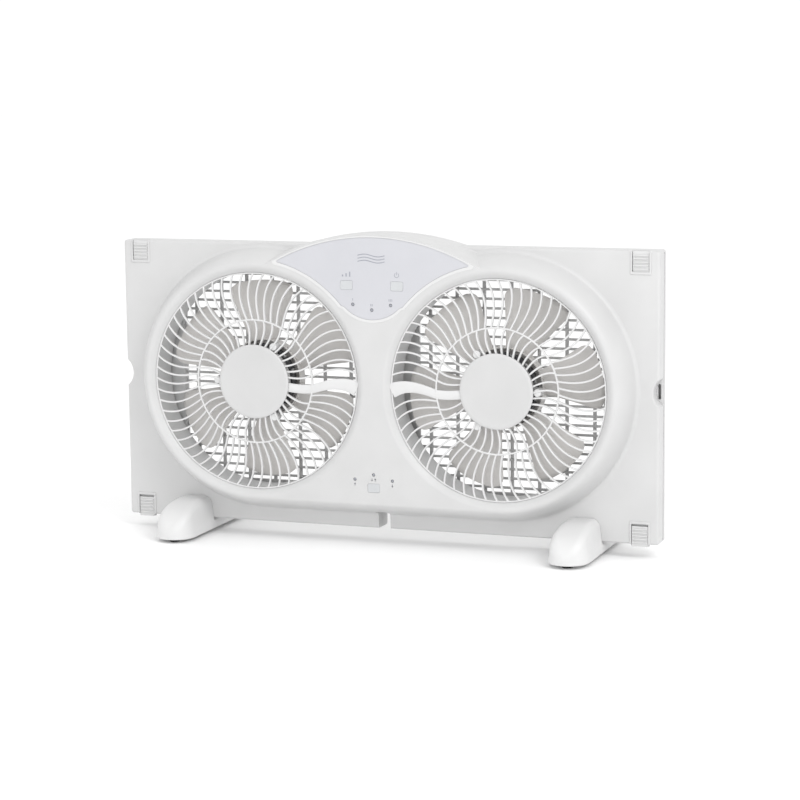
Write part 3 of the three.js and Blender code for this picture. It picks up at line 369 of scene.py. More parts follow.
class Solid:
    """Vertices and faces of one or more closed forms."""

    def __init__(self):
        self.points = []
        self.faces = []

    def loop(self, points):
        start = len(self.points)
        self.points.extend(points)
        return list(range(start, start + len(points)))

    def band(self, first, second, closed=True):
        count = len(first)
        for i in range(count if closed else count - 1):
            j = (i + 1) % count
            self.faces.append((first[i], first[j], second[j], second[i]))

    def stack(self, rows, closed=True):
        """A skin over rows of points, each row the same length."""
        loops = [self.loop(row) for row in rows]
        for first, second in zip(loops, loops[1:]):
            self.band(first, second, closed)
        return loops

    def levels(self, rows):
        """A skin over outlines in X and Z, each with its own depth."""
        self.stack([[(x, y, z) for x, z in row] for row, y in rows])

    def tube(self, rows):
        """A closed form over rows of points, with a face on each end."""
        loops = self.stack(rows)
        self.faces += [tuple(loops[0]), tuple(loops[-1])]

    def flat(self, y, loops):
        """A flat face in X and Z at one depth. Loops after the first are holes."""
        coords = []
        edges = []
        for loop in loops:
            start = len(coords)
            coords.extend(Vector(p) for p in loop)
            edges.extend((start + i, start + (i + 1) % len(loop)) for i in range(len(loop)))
        verts, _, faces, _, _, _ = delaunay_2d_cdt(coords, edges, [], 1, 1e-6)
        made = self.loop([(v.x, y, v.y) for v in verts])
        for face in faces:
            centre = sum((verts[i] for i in face), Vector((0, 0))) / len(face)
            if inside(centre, loops):
                self.faces.append(tuple(made[i] for i in face))

    def slab(self, outline, y0, y1, front_edge=0.0, back_edge=0.0, holes=(), steps=4):
        """A plate pushed along Y, with rounded edges on its faces and holes."""
        front = [(inset, y0 + depth) for inset, depth in quarter(front_edge, steps)]
        back = [(inset, y1 - depth) for inset, depth in reversed(quarter(back_edge, steps))]
        first, last = [], []
        for points in [outline, *holes]:
            sign = -1 if first else 1
            rows = [(offset(points, sign * inset) if inset else points, y) for inset, y in front + back]
            first.append(rows[0][0])
            last.append(rows[-1][0])
            self.levels(rows)
        self.flat(y0, first)
        self.flat(y1, last)
        return self

    def lathe(self, x, z, profile, segments=96, closed=False):
        """A profile of radius and depth turned about an axis along Y."""
        rows = []
        for radius, y in profile:
            if radius < 1e-6:
                rows.append(None if rows and rows[-1] is None else (y,))
                continue
            rows.append([(x + u, y, z + v) for u, v in circle(0, 0, radius, segments)])
        loops = [self.loop(row) if len(row) > 1 else self.loop([(x, row[0], z)]) for row in rows]
        pairs = list(zip(loops, loops[1:]))
        if closed:
            pairs.append((loops[-1], loops[0]))
        for first, second in pairs:
            if len(first) == 1 or len(second) == 1:
                point, ring = (first, second) if len(first) == 1 else (second, first)
                for i in range(len(ring)):
                    self.faces.append((point[0], ring[i], ring[(i + 1) % len(ring)]))
            else:
                self.band(first, second)
        return self

    def turned(self, matrix):
        self.points = [tuple(matrix @ Vector(p)) for p in self.points]
        return self

    def at_fan(self, side, mirror=False):
        """Moves the form on to that fan's axis, mirrored for the right fan when asked."""
        if mirror and side > 0:
            self.points = [(-x, y, z) for x, y, z in self.points]
            self.faces = [tuple(reversed(face)) for face in self.faces]
        self.points = [(x + side * FAN_X, y, z + FAN_Z) for x, y, z in self.points]


def inside(point, loops):
    """Even-odd test of a point against all the loops."""
    hit = False
    for loop in loops:
        for (x0, z0), (x1, z1) in zip(loop, list(loop[1:]) + [loop[0]]):
            if (z0 > point.y) != (z1 > point.y):
                if point.x < (x1 - x0) * (point.y - z0) / (z1 - z0) + x0:
                    hit = not hit
    return hit


def placed(name, data):
    """A new object in the scene."""
    item = bpy.data.objects.new(name, data)
    bpy.context.scene.collection.objects.link(item)
    return item


def to_mesh(name, solid):
    mesh = bpy.data.meshes.new(name)
    form = bmesh.new()
    verts = [form.verts.new([c * MM for c in p]) for p in solid.points]
    for face in solid.faces:
        if len(set(face)) > 2:
            form.faces.new([verts[i] for i in face])
    bmesh.ops.remove_doubles(form, verts=form.verts, dist=2e-6)
    bmesh.ops.recalc_face_normals(form, faces=form.faces)
    form.to_mesh(mesh)
    form.free()
    return mesh


def combined(base, joined, cutters):
    """One closed mesh: base with the joined solids added and the cutters taken away."""
    start = base if isinstance(base, bpy.types.Mesh) else to_mesh("draft", base)
    holder = placed("draft", start)
    tools = []
    for operation, solids in (("UNION", joined), ("DIFFERENCE", cutters)):
        for solid in solids:
            tool = placed("tool", to_mesh("tool", solid))
            step = holder.modifiers.new("Combine", "BOOLEAN")
            step.operation = operation
            step.object = tool
            step.solver = "MANIFOLD"
            tools.append(tool)
    graph = bpy.context.evaluated_depsgraph_get()
    mesh = bpy.data.meshes.new_from_object(holder.evaluated_get(graph))
    for item in [holder] + tools:
        data = item.data
        bpy.data.objects.remove(item)
        bpy.data.meshes.remove(data)
    return mesh


def piece(name, shape, material, body, nodes, sharp=32):
    """Puts a finished piece on its body, in place of its CAD nodes if it has any."""
    mesh = shape if isinstance(shape, bpy.types.Mesh) else to_mesh(name, shape)
    mesh.name = name
    mesh.materials.clear()
    mesh.materials.append(material)
    mesh.shade_smooth()
    mesh.set_sharp_from_angle(angle=math.radians(sharp))
    item = placed(name, mesh)
    normals = item.modifiers.new("Normals", "WEIGHTED_NORMAL")
    normals.keep_sharp = True
    normals.weight = 50
    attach(item, body)
    if nodes:
        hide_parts(*nodes)


def form(node, shape, material, slot, body="housing", sharp=32):
    """Puts a finished form in place of one CAD node."""
    piece(f"{node}_form", shape, material, body, [node], sharp)


# ---- Materials ----------------------------------------------------------------------


class Finish:
    """A procedural material: tone, roughness and fine relief from noise in object space."""

    def __init__(self, name, metallic=0.0, specular=0.5):
        self.material = bpy.data.materials.new(name)
        self.material.use_nodes = True
        self.tree = self.material.node_tree
        self.tree.nodes.clear()
        output = self.node("ShaderNodeOutputMaterial")
        self.shader = self.node("ShaderNodeBsdfPrincipled",
                                {"Metallic": metallic, "Specular IOR Level": specular})
        self.link(self.shader.outputs[0], output.inputs[0])
        self.place = self.node("ShaderNodeTexCoord").outputs["Object"]
        self.relief = None

    def node(self, kind, values=None):
        """A new node, with some of its inputs set."""
        made = self.tree.nodes.new(kind)
        for socket, value in (values or {}).items():
            made.inputs[socket].default_value = value
        return made

    def link(self, source, target):
        self.tree.links.new(source, target)

    def noise(self, size, detail=3.0, stretch=(1, 1, 1)):
        """Noise whose features are about size millimetres across."""
        mapping = self.node("ShaderNodeMapping", {"Scale": stretch})
        self.link(self.place, mapping.inputs["Vector"])
        noise = self.node("ShaderNodeTexNoise", {"Scale": 1 / (size * MM), "Detail": detail})
        self.link(mapping.outputs[0], noise.inputs["Vector"])
        return noise.outputs["Fac"]

    def ranged(self, value, low, high):
        scale = self.node("ShaderNodeMapRange",
                          {"From Min": 0.3, "From Max": 0.7, "To Min": low, "To Max": high})
        self.link(value, scale.inputs["Value"])
        return scale.outputs[0]

    def tones(self, first, second, size, detail=3.0, stretch=(1, 1, 1)):
        blend = self.node("ShaderNodeMix")
        blend.data_type = "RGBA"
        blend.inputs["A"].default_value = (*first, 1)
        blend.inputs["B"].default_value = (*second, 1)
        self.link(self.ranged(self.noise(size, detail, stretch), 0, 1), blend.inputs["Factor"])
        self.link(blend.outputs["Result"], self.shader.inputs["Base Color"])

    def roughness(self, low, high, size, stretch=(1, 1, 1)):
        value = self.ranged(self.noise(size, 4.0, stretch), low, high)
        self.link(value, self.shader.inputs["Roughness"])

    def bump(self, size, depth, strength=1.0, detail=2.0, stretch=(1, 1, 1)):
        """Relief of that depth in millimetres, added to any that is there already."""
        bump = self.node("ShaderNodeBump", {"Strength": strength, "Distance": depth * MM})
        self.link(self.noise(size, detail, stretch), bump.inputs["Height"])
        if self.relief:
            self.link(self.relief, bump.inputs["Normal"])
        self.relief = bump.outputs[0]
        self.link(self.relief, self.shader.inputs["Normal"])

    def set(self, socket, value):
        self.shader.inputs[socket].default_value = value
        return self


def made_of(name, tones, rough, *reliefs, metallic=0.0, specular=0.5):
    """A finish from its tones, its range of roughness and its layers of relief."""
    finish = Finish(name, metallic, specular)
    finish.tones(*tones)
    finish.roughness(*rough)
    for relief in reliefs:
        finish.bump(*relief)
    return finish


def grey(level, warm=0.0):
    return (level * (1 + warm), level, level * (1 - warm))


def white_plastic(name, level, rough, warm=0.0, grain=0.45, depth=0.02):
    """Moulded plastic: fine spark grain, slight sink waviness and uneven gloss."""
    finish = made_of(name, (grey(level * 1.02, warm), grey(level * 0.97, warm), 45, 4),
                     (rough - 0.05, rough + 0.07, 9), (60, 0.12, 0.35), (grain, depth, 0.6, 3))
    finish.set("Subsurface Weight", 0.04)
    finish.set("Subsurface Radius", (0.004, 0.004, 0.004))
    return finish.material


LAYERED = (0.02, 1, 0.02)  # stretch of the noise on stacked sheets
TURNED = (0.1, 1, 0.1)  # stretch of the noise on turned steel
HOUSING = white_plastic("housing_abs", 0.57, 0.42)
BEZEL = white_plastic("grille_abs", 0.64, 0.40, grain=0.4)
# Darker than the housing: partly painted shade from the dark duct the slats face, partly a greyer grille
# plastic.
REAR = white_plastic("rear_grille_abs", 0.50, 0.46, grain=0.4)
HUB = white_plastic("hub_abs", 0.55, 0.42, grain=0.4)
# Lighter than the housing plastic: a painted highlight along the raised bead round the fascia.
BEAD_PAINTED_HIGHLIGHT = white_plastic("bead_painted_highlight_abs", 0.635, 0.40, grain=0.4)
EXTENDER = white_plastic("extender_abs", 0.56, 0.44)
LOCK = white_plastic("lock_abs", 0.60, 0.40, grain=0.35)
FOOT = white_plastic("foot_abs", 0.665, 0.38, grain=0.5)
BLADE = white_plastic("blade_polypropylene", 0.575, 0.40, warm=0.028, grain=0.6, depth=0.015)
CONTROL = white_plastic("control_cap", 0.53, 0.36, warm=-0.022, grain=0.3)
CAST = made_of("cast_aluminium", (grey(0.651), grey(0.527), 4, 5), (0.42, 0.6, 3),
               (0.7, 0.06, 0.8, 4), metallic=0.6).material
LAMINATION = made_of("lamination_steel",
                     ((0.045, 0.047, 0.052), (0.11, 0.11, 0.115), 0.5, 2, LAYERED),
                     (0.35, 0.6, 1.2), (0.5, 0.08, 1.0, 1, LAYERED), metallic=0.7).material
STEEL = made_of("turned_steel", ((0.50, 0.51, 0.53), (0.40, 0.41, 0.43), 1.5, 4, TURNED),
                (0.22, 0.36, 0.6, TURNED), (0.25, 0.01, 0.6, 2, TURNED), metallic=1.0).material
BRONZE = made_of("sintered_bronze", ((0.42, 0.24, 0.09), (0.30, 0.16, 0.06), 0.6, 5),
                 (0.35, 0.5, 0.5), (0.2, 0.02, 0.8, 4), metallic=0.9).material
RUBBER = made_of("pad_rubber", ((0.012, 0.012, 0.013), (0.024, 0.023, 0.022), 3, 5),
                 (0.65, 0.85, 1.5), (0.5, 0.05, 0.9, 4), specular=0.3).material
FILM = made_of("fascia_film", ((0.528, 0.531, 0.560), (0.512, 0.515, 0.544), 30, 3),
               (0.33, 0.42, 6), (0.3, 0.006, 0.5, 2)).material
INK = made_of("printed_ink", ((0.27, 0.28, 0.32), (0.32, 0.33, 0.37), 2, 4),
              (0.45, 0.6, 1), (0.15, 0.004, 0.5, 2)).material
LENS = made_of("lamp_lens", ((0.30, 0.31, 0.34), (0.24, 0.25, 0.28), 0.8, 3),
               (0.12, 0.22, 0.7), (0.4, 0.01, 0.4, 2)).set("Coat Weight", 0.6).material
BOARD = made_of("board_laminate", ((0.20, 0.135, 0.07), (0.26, 0.18, 0.10), 1.2, 3),
                (0.3, 0.45, 2), (0.4, 0.02, 0.7, 2)).material


# ---- Front housing ------------------------------------------------------------------


def bezier(a, b, c, d, steps):
    points = []
    for i in range(steps + 1):
        t = i / steps
        weights = ((1 - t) ** 3, 3 * t * (1 - t) ** 2, 3 * t * t * (1 - t), t**3)
        points.append(tuple(sum(w * p[k] for w, p in zip(weights, (a, b, c, d))) for k in (0, 1)))
    return points


INNER_STEPS = 72
RIM_SUPPORT = 1.0  # the lip's solid back begins this far inside the crest
LIP_BACK = OPENING_FRONT + 2 * WALL
WEB_BACK = FRONT + WALL
FASCIA_FLOOR = FASCIA_HIGH[1] + GAP
FLARE = 4.5  # the slope's foot spreads this far over the panel


def crest_circle(side):
    """Points of one crest circle, shared with the twin outline on its outer part."""
    meet = meeting_angle(CREST_RADIUS, HUMP_FRONT_RADIUS, HUMP_TOP)
    outer = arc(FAN_X, FAN_Z, CREST_RADIUS, -90, meet, RING_STEPS)
    inner = arc(FAN_X, FAN_Z, CREST_RADIUS, meet, 270, INNER_STEPS)
    return [(side * x, z) for x, z in outer + inner[1:-1]]


def web_outline():
    """The flat between the two crests."""
    crest = twin_outline(CREST_RADIUS, HUMP_FRONT_RADIUS, HUMP_TOP)
    top = crest[RING_STEPS : len(crest) - RING_STEPS - BOTTOM_STEPS + 1]
    bottom = crest[len(crest) - BOTTOM_STEPS + 1 :] + [crest[0]]
    inner = crest_circle(1)[RING_STEPS + 1 :]
    left = [(-x, z) for x, z in inner]
    return top + left + [(-crest[0][0], crest[0][1])] + bottom + list(reversed(inner))


def control_holes(nodes):
    """Holes for buttons and lamps, with their clearance."""
    holes = []
    for node in nodes:
        low, high = span(node)
        x, _, z = middle(node)
        if node in BUTTONS:
            width = (high[0] - low[0]) / 2 - BUTTON_FLANGE + SLIDE_GAP
            height = (high[2] - low[2]) / 2 - BUTTON_FLANGE + SLIDE_GAP
            holes.append(rectangle(x - width, x + width, z - height, z + height, 1.2 + SLIDE_GAP))
        else:
            holes.append(circle(x, z, (high[2] - low[2]) / 2 + GAP, 24))
    return holes


def flare_share(i):
    """How much the slope's foot spreads at a point: none where it joins the hump's top wall."""
    if CROWN_FIRST <= i <= CROWN_LAST:
        return 0.0
    return min(1.0, min(abs(i - CROWN_FIRST), abs(i - CROWN_LAST)) / SHOULDER_STEPS)


def bulge_rows():
    """The outer skin of the twin rings, from the crest down on to the panel."""
    crest = twin_outline(CREST_RADIUS, HUMP_FRONT_RADIUS, HUMP_TOP)
    base = twin_outline(BASE_RADIUS, HUMP_BACK_RADIUS, HUMP_TOP)
    foot = (BULGE_RUN - 1.3, PANEL_FRONT - 3.4)
    slope = bezier((0, FRONT), (6.5, FRONT), (12.4, FRONT + 18), foot, 16)
    rows = []
    for run, y in slope:
        share = run / BULGE_RUN
        rows.append([(mix(c[0], b[0], share), y, mix(c[1], b[1], share)) for c, b in zip(crest, base)])
    flare = bezier(foot, (BULGE_RUN - 0.3, PANEL_FRONT - 0.9), (BULGE_RUN + 1.2, PANEL_FRONT - 0.1),
                   (BULGE_RUN + FLARE, PANEL_FRONT + 0.06), 9)[1:]
    for k, (run, y) in enumerate(flare):
        row = []
        for i, (c, b) in enumerate(zip(crest, base)):
            share = flare_share(i)
            along = Vector(b) - Vector(c)
            reach = mix(min(run, BULGE_RUN), run, share) - BULGE_RUN
            push = along.normalized() * reach if along.length > 0.5 else Vector((0, 0))
            drop = mix(PANEL_FRONT - 3.4 + 2.4 * (k + 1) / len(flare), y, share)
            row.append((b[0] + push.x, drop, b[1] + push.y))
        rows.append(row)
    return rows


def end_depth(i):
    return FRONT_RIM if CROWN_FIRST <= i <= CROWN_LAST else PANEL_FRONT + 1.5


def bulge_shell():
    solid = Solid()
    rows = bulge_rows()
    rows.append([(x, end_depth(i), z) for i, (x, _, z) in enumerate(rows[-1])])
    inner_front = twin_outline(CREST_RADIUS - 0.4, HUMP_FRONT_RADIUS - 2, HUMP_TOP - 2)
    inner_back = twin_outline(BASE_RADIUS - 2.8, HUMP_BACK_RADIUS - WALL, HUMP_TOP - WALL)
    rows.append([(x, end_depth(i), z) for i, (x, z) in enumerate(inner_back)])
    rows.append([(x, PANEL_FRONT + 1.5, z) for x, z in inner_back])
    rows.append([(x, WEB_BACK, z) for x, z in inner_front])
    solid.stack(rows)
    lip = bezier((CREST_RADIUS, FRONT), (CREST_RADIUS - 3.6, FRONT),
                 (OPENING_RADIUS + 2.2, OPENING_FRONT - 1.6), (OPENING_RADIUS, OPENING_FRONT + 0.4), 10)
    duct = OPENING_RADIUS + WALL
    support = CREST_RADIUS - RIM_SUPPORT
    depth = lip + [(OPENING_RADIUS, DUCT_BACK - 0.6), (OPENING_RADIUS + 0.6, DUCT_BACK),
                   (duct - 0.6, DUCT_BACK), (duct, DUCT_BACK - 0.6), (duct, LIP_BACK),
                   (support, LIP_BACK), (support, WEB_BACK)]
    back_circles = []
    for _, side in SIDES:
        crest = crest_circle(side)
        centre = (side * FAN_X, FAN_Z)
        ring_rows = []
        for radius, y in depth:
            share = radius / CREST_RADIUS
            ring_rows.append([(mix(centre[0], x, share), y, mix(centre[1], z, share)) for x, z in crest])
        solid.stack(ring_rows)
        back_circles.append([(x, z) for x, _, z in ring_rows[-1]])
    recess = fascia_outline(GAP)
    upper = control_holes(BUTTONS[:2] + SPEED_LAMPS)
    lower = control_holes(BUTTONS[2:] + MODE_LAMPS)
    edge = [(offset(recess, -inset), FRONT + depth) for inset, depth in quarter(0.7, 4)]
    solid.levels(edge + [(recess, FASCIA_FLOOR)])
    solid.flat(FRONT, [web_outline(), edge[0][0]] + lower)
    solid.flat(FASCIA_FLOOR, [recess] + upper)
    for holes, front in ((upper, FASCIA_FLOOR), (lower, FRONT)):
        for hole in holes:
            solid.levels([(hole, front), (hole, WEB_BACK)])
    solid.flat(WEB_BACK, [inner_front] + back_circles + upper + lower)
    return solid


def plate(outline, y0, y1, front_edge=0.0, back_edge=0.0, holes=()):
    return Solid().slab(outline, y0, y1, front_edge, back_edge, holes)


def across(outline, x0, x1, edge=0.0):
    """A plate whose outline is in Y and Z, pushed along X."""
    swap = Matrix(((0, 1, 0, 0), (1, 0, 0, 0), (0, 0, 1, 0), (0, 0, 0, 1)))
    return plate(outline, x0, x1, edge, edge).turned(swap)


def upwards(outline, z0, z1, low_edge=0.0, top_edge=0.0):
    """A plate whose outline is in X and Y, pushed along Z."""
    swap = Matrix(((1, 0, 0, 0), (0, 0, 1, 0), (0, 1, 0, 0), (0, 0, 0, 1)))
    return plate(outline, z0, z1, low_edge, top_edge).turned(swap)


def lathed(x, z, profile, segments=96, closed=False):
    return Solid().lathe(x, z, profile, segments, closed)


def block(low, high, edge=0.5):
    """A box with every edge rounded."""
    (x0, y0, z0), (x1, y1, z1) = low, high
    edge = min(edge, (x1 - x0) * 0.49, (y1 - y0) * 0.49, (z1 - z0) * 0.49)
    outline = rectangle(x0, x1, z0, z1, edge * 1.01, 3)
    return Solid().slab(outline, y0, y1, edge * 0.98, edge * 0.98, steps=3)


def lock_span(node, inward, outward):
    """Span along Z from inside the panel to beyond its edge, at that lock."""
    if "upper" in node:
        return PANEL_TOP - inward, PANEL_TOP + outward
    return PANEL_LIFT - outward, PANEL_LIFT + inward


def lock_frame(node):
    low, high = span(node)
    x = (low[0] + high[0]) / 2
    half = (high[0] - low[0]) / 2 + 1.3
    front = PANEL_FRONT - 1
    z0, z1 = lock_span(node, 24.3, 0)
    return plate(rectangle(x - half, x + half, z0, z1, 1.6), front, high[1] + 2, 0.7)


def lock_pocket(node):
    low, high = span(node)
    x = (low[0] + high[0]) / 2
    wide = (high[0] - low[0]) / 2 + SLIDE_GAP
    narrow = wide - 1.2
    back = high[1] + SLIDE_GAP
    z0, z1 = lock_span(node, 21.6, 5)
    slim = plate(rectangle(x - narrow, x + narrow, z0, z1, 0.8), PANEL_FRONT - 3, back)
    return [slim, plate(rectangle(x - wide, x + wide, z0, z1, 0.8), back - 2, back)]


def notch_centre(side):
    return side * (PANEL_END - NOTCH_DEPTH + NOTCH_RADIUS)


def notch_liner(side):
    limit = PANEL_END - 0.5
    around = arc(abs(notch_centre(side)), FAN_Z, NOTCH_RADIUS + WALL, 90, 270, 160)
    outline = [(side * x, z) for x, z in around if x < limit]
    return plate(outline, PANEL_FRONT + 2, FRONT_RIM)


def notch_cutter(side):
    """A round cutter that opens out towards the panel's face."""
    profile = [(0, FRONT), (NOTCH_RADIUS + 1.4, FRONT)]
    profile += [(NOTCH_RADIUS + inset, PANEL_FRONT + depth) for inset, depth in quarter(1.4, 5)]
    profile += [(NOTCH_RADIUS, FRONT_RIM + 1), (0, FRONT_RIM + 1)]
    return lathed(notch_centre(side), FAN_Z, profile, 160)


def cord_liner(y0, y1):
    low = PANEL_LIFT + 0.6
    high = PANEL_LIFT + CORD_NOTCH_HEIGHT + WALL
    outline = [(y1, low), (y1, high)]
    if y0 < PANEL_FRONT + WALL:
        outline += [(PANEL_FRONT - 5, high), (PANEL_FRONT - 5, high - 2), (y0, BASE_LOW + 1.5)]
    else:
        outline += [(y0, high)]
    outline += [(y0, low)]
    half = CORD_NOTCH_HALF_WIDTH + WALL
    return across(outline, -half, half)


def cord_cutter():
    half = CORD_NOTCH_HALF_WIDTH
    outline = rectangle(-half, half, PANEL_LIFT - 5, PANEL_LIFT + CORD_NOTCH_HEIGHT, 1.8)
    return plate(outline, FRONT - 1, PANEL_BACK + 1)


def screw_cylinder(node, radius, y0, y1):
    """A boss or a hole on the axis of a housing screw."""
    x, _, z = middle(node)
    return plate(circle(x, z, radius, 24 if radius < 3 else 32), y0, y1)


def front_housing():
    under_bulge = twin_outline(BASE_RADIUS - 1.2, HUMP_BACK_RADIUS - 1.2, HUMP_TOP - 1.2)
    hollow = plate(panel_outline(WALL), PANEL_FRONT + WALL, FRONT_RIM + 1)
    hollow_bulge = plate(under_bulge, PANEL_FRONT - 1, FRONT_RIM + 2)
    base = plate(panel_outline(0), PANEL_FRONT, FRONT_RIM, PANEL_EDGE)
    tray = combined(base, [], [hollow, hollow_bulge])
    joined = [bulge_shell(), cord_liner(PANEL_FRONT + 2, FRONT_RIM)]
    joined += [notch_liner(side) for _, side in SIDES]
    joined += [lock_frame(node) for node in LOCKS]
    joined += [screw_cylinder(node, SCREW_BOSS_RADIUS, PANEL_FRONT + 2, FRONT_RIM) for node in SCREWS]
    cutters = [cord_cutter()] + [notch_cutter(side) for _, side in SIDES]
    for node in LOCKS:
        cutters += lock_pocket(node)
    cutters += [screw_cylinder(node, SCREW_HOLE_RADIUS, FRONT_RIM - 12, FRONT_RIM + 1) for node in SCREWS]
    mesh = combined(tray, joined, cutters)
    form("front_housing", mesh, HOUSING, "housing_white", sharp=34)


# ---- Rear housing -------------------------------------------------------------------

def rear_housing():
    hollows = [plate(panel_outline(WALL, True), REAR_JOIN - 1, REAR_PLATE)]
    joined = [cord_liner(REAR_JOIN, PANEL_BACK - 1)]
    for _, side in SIDES:
        low = (side * PANEL_END - 4, REAR_JOIN - 1, PANEL_LIFT + WALL)
        high = (side * PANEL_END + 4, EXTENDER_REST_BACK, PANEL_TOP - WALL)
        hollows.append(block(low, high, 0.2))
        x = side * (EXTENDER_LOW[0] + 1.5 * STOP_THICKNESS + EXTENDER_TRAVEL + GAP)
        low = (x - STOP_THICKNESS / 2, EXTENDER_REST_BACK, FAN_Z - STOP_HALF_HEIGHT)
        high = (x + STOP_THICKNESS / 2, PANEL_BACK - 1, FAN_Z + STOP_HALF_HEIGHT)
        joined.append(block(low, high))
    base = plate(panel_outline(0, True), REAR_JOIN, PANEL_BACK, 0, PANEL_EDGE)
    tray = combined(base, [], hollows)
    joined += [screw_cylinder(node, SCREW_BOSS_RADIUS, REAR_JOIN, PANEL_BACK - 0.5) for node in SCREWS]
    cutters = [cord_cutter()]
    for _, side in SIDES:
        x = side * FAN_X
        opening = rectangle(x - WINDOW_WIDTH / 2, x + WINDOW_WIDTH / 2,
                            FAN_Z - WINDOW_HEIGHT / 2, FAN_Z + WINDOW_HEIGHT / 2, 2)
        cutters.append(plate(opening, REAR_PLATE - 1, PANEL_BACK + 1))
        flare = Solid()
        rows = [(offset(opening, -inset), PANEL_BACK - depth) for inset, depth in quarter(0.9, 4)]
        rows = [(offset(opening, -1.0), PANEL_BACK + 1)] + rows + [(offset(opening, 1), PANEL_BACK - 1)]
        flare.levels(rows)
        flare.flat(rows[0][1], [rows[0][0]])
        flare.flat(rows[-1][1], [rows[-1][0]])
        cutters.append(flare)
    for node in SCREWS:
        cutters.append(screw_cylinder(node, SCREW_HOLE_RADIUS, REAR_JOIN - 1, PANEL_BACK + 1))
        cutters.append(screw_cylinder(node, 3.5, PANEL_BACK - 1.6, PANEL_BACK + 1))
    gland_x, _, gland_z = middle("cord_gland")
    cutters.append(plate(circle(gland_x, gland_z, 5.3, 40), REAR_PLATE - 1, PANEL_BACK + 1))
    mesh = combined(tray, joined, cutters)
    form("rear_housing", mesh, HOUSING, "housing_white", sharp=34)


# ---- Grilles ------------------------------------------------------------------------


def outer_rib_angle(r):
    t = (r - RING_RADIUS) / (OPENING_RADIUS - RING_RADIUS)
    return 0.8 * (1 - t) + 14.4 * t * (1 - t)


def inner_rib_angle(r):
    t = (r - HUB_RADIUS) / (RING_RADIUS - HUB_RADIUS)
    return 8.1 - 10.4 * t * (1 - t)


def outer_arm_angle(r):
    t = (r - RING_RADIUS) / (OPENING_RADIUS - RING_RADIUS)
    return -5 * (1 - t) - 2.2 * t + 15 * t * (1 - t)


def inner_arm_angle(r):
    t = (r - HUB_RADIUS) / (RING_RADIUS - HUB_RADIUS)
    return -7.3 + 2.3 * t * t


def outer_arm_half(r):
    return ARM_HALF + 3.3 * ((r - RING_RADIUS) / (OPENING_RADIUS - RING_RADIUS)) ** 2


def rib_front(r):
    """The grille is slightly domed: its ribs stand further forward towards the hub."""
    share = max(0.0, (r - HUB_RADIUS) / (OPENING_RADIUS - HUB_RADIUS))
    return mix(GRILLE_LOW[1] + 0.2, OPENING_FRONT - 0.9, share**1.6)


def rib_back(r):
    share = (r - HUB_RADIUS) / (OPENING_RADIUS - HUB_RADIUS)
    return mix(OPENING_FRONT, RIB_BACK, share)


# Across, body and crown shares of a rib's section: square at the back, half round in front.
RIB_SECTION = [(-1, 0, 0)]
RIB_SECTION += [(-math.cos(math.pi * k / 6), 1, math.sin(math.pi * k / 6)) for k in range(7)]
RIB_SECTION += [(1, 0, 0)]


def add_rib(solid, angle_at, half_at, start, end, steps, crown=0.75):
    """A swept rib with a rounded front, along a curve of angle against radius."""
    rows = []
    for i in range(steps + 1):
        r = mix(start, end, i / steps)
        here = Vector(polar(angle_at(r), r))
        ahead = Vector(polar(angle_at(r + 0.2), r + 0.2)) - here
        normal = Vector((-ahead.y, ahead.x)).normalized()
        front, back = rib_front(r), rib_back(r)
        half = half_at(r)
        top = min(half, crown)
        row = []
        for u, body, dome in RIB_SECTION:
            p = here + normal * half * u
            row.append((p.x, back - (back - front - top) * body - top * dome, p.y))
        rows.append(row)
    solid.tube(rows)


def front_grille(end, side):
    solid = Solid()
    edge = OPENING_RADIUS - FINE_GAP
    root, tip = HUB_RADIUS - 2.5, edge - 0.4
    for k in range(1, OUTER_RIBS - 1):
        turn = k * 360 / OUTER_RIBS
        add_rib(solid, lambda r: outer_rib_angle(r) + turn, lambda r: RIB_HALF,
                RING_RADIUS - 0.3, tip, 14)
    for k in range(INNER_RIBS - 2):
        turn = k * 360 / INNER_RIBS
        add_rib(solid, lambda r: inner_rib_angle(r) + turn, lambda r: RIB_HALF,
                root, RING_RADIUS + 0.3, 9)
    add_rib(solid, outer_arm_angle, outer_arm_half, RING_RADIUS - 0.5, tip, 18, 1.0)
    add_rib(solid, inner_arm_angle, lambda r: ARM_HALF, root, RING_RADIUS + 0.5, 9, 1.0)
    for radius, half in ((RING_RADIUS, RIB_HALF), (edge - 0.75, 0.75)):
        front, back = rib_front(radius) - 0.1, rib_back(radius)
        profile = rounded([(radius - half, front), (radius + half, front),
                           (radius + half, back), (radius - half, back)], half * 0.9, 4)
        solid.lathe(0, 0, profile, 160, closed=True)
    plate_radius = HUB_RADIUS - 1.5
    solid.lathe(0, 0, [(0, GRILLE_LOW[1]), (plate_radius - 0.6, GRILLE_LOW[1]),
                       (plate_radius, GRILLE_LOW[1] + 0.6), (plate_radius, RIB_BACK), (0, RIB_BACK)], 96)
    for angle in BOSS_ANGLES:
        x, z = polar(angle, BOSS_CIRCLE)
        profile = rounded([(0, OPENING_FRONT - 1.8), (4, OPENING_FRONT - 1.8),
                           (4.3, GRILLE_HIGH[1]), (SCREW_HOLE_RADIUS, GRILLE_HIGH[1]),
                           (SCREW_HOLE_RADIUS, OPENING_FRONT + 0.3), (0, OPENING_FRONT + 0.3)],
                          0.5, 3, closed=False)
        solid.lathe(x, z, profile, 32)
    solid.at_fan(side, mirror=True)
    form(f"front_grille_{end}", solid, BEZEL, "grille_white")


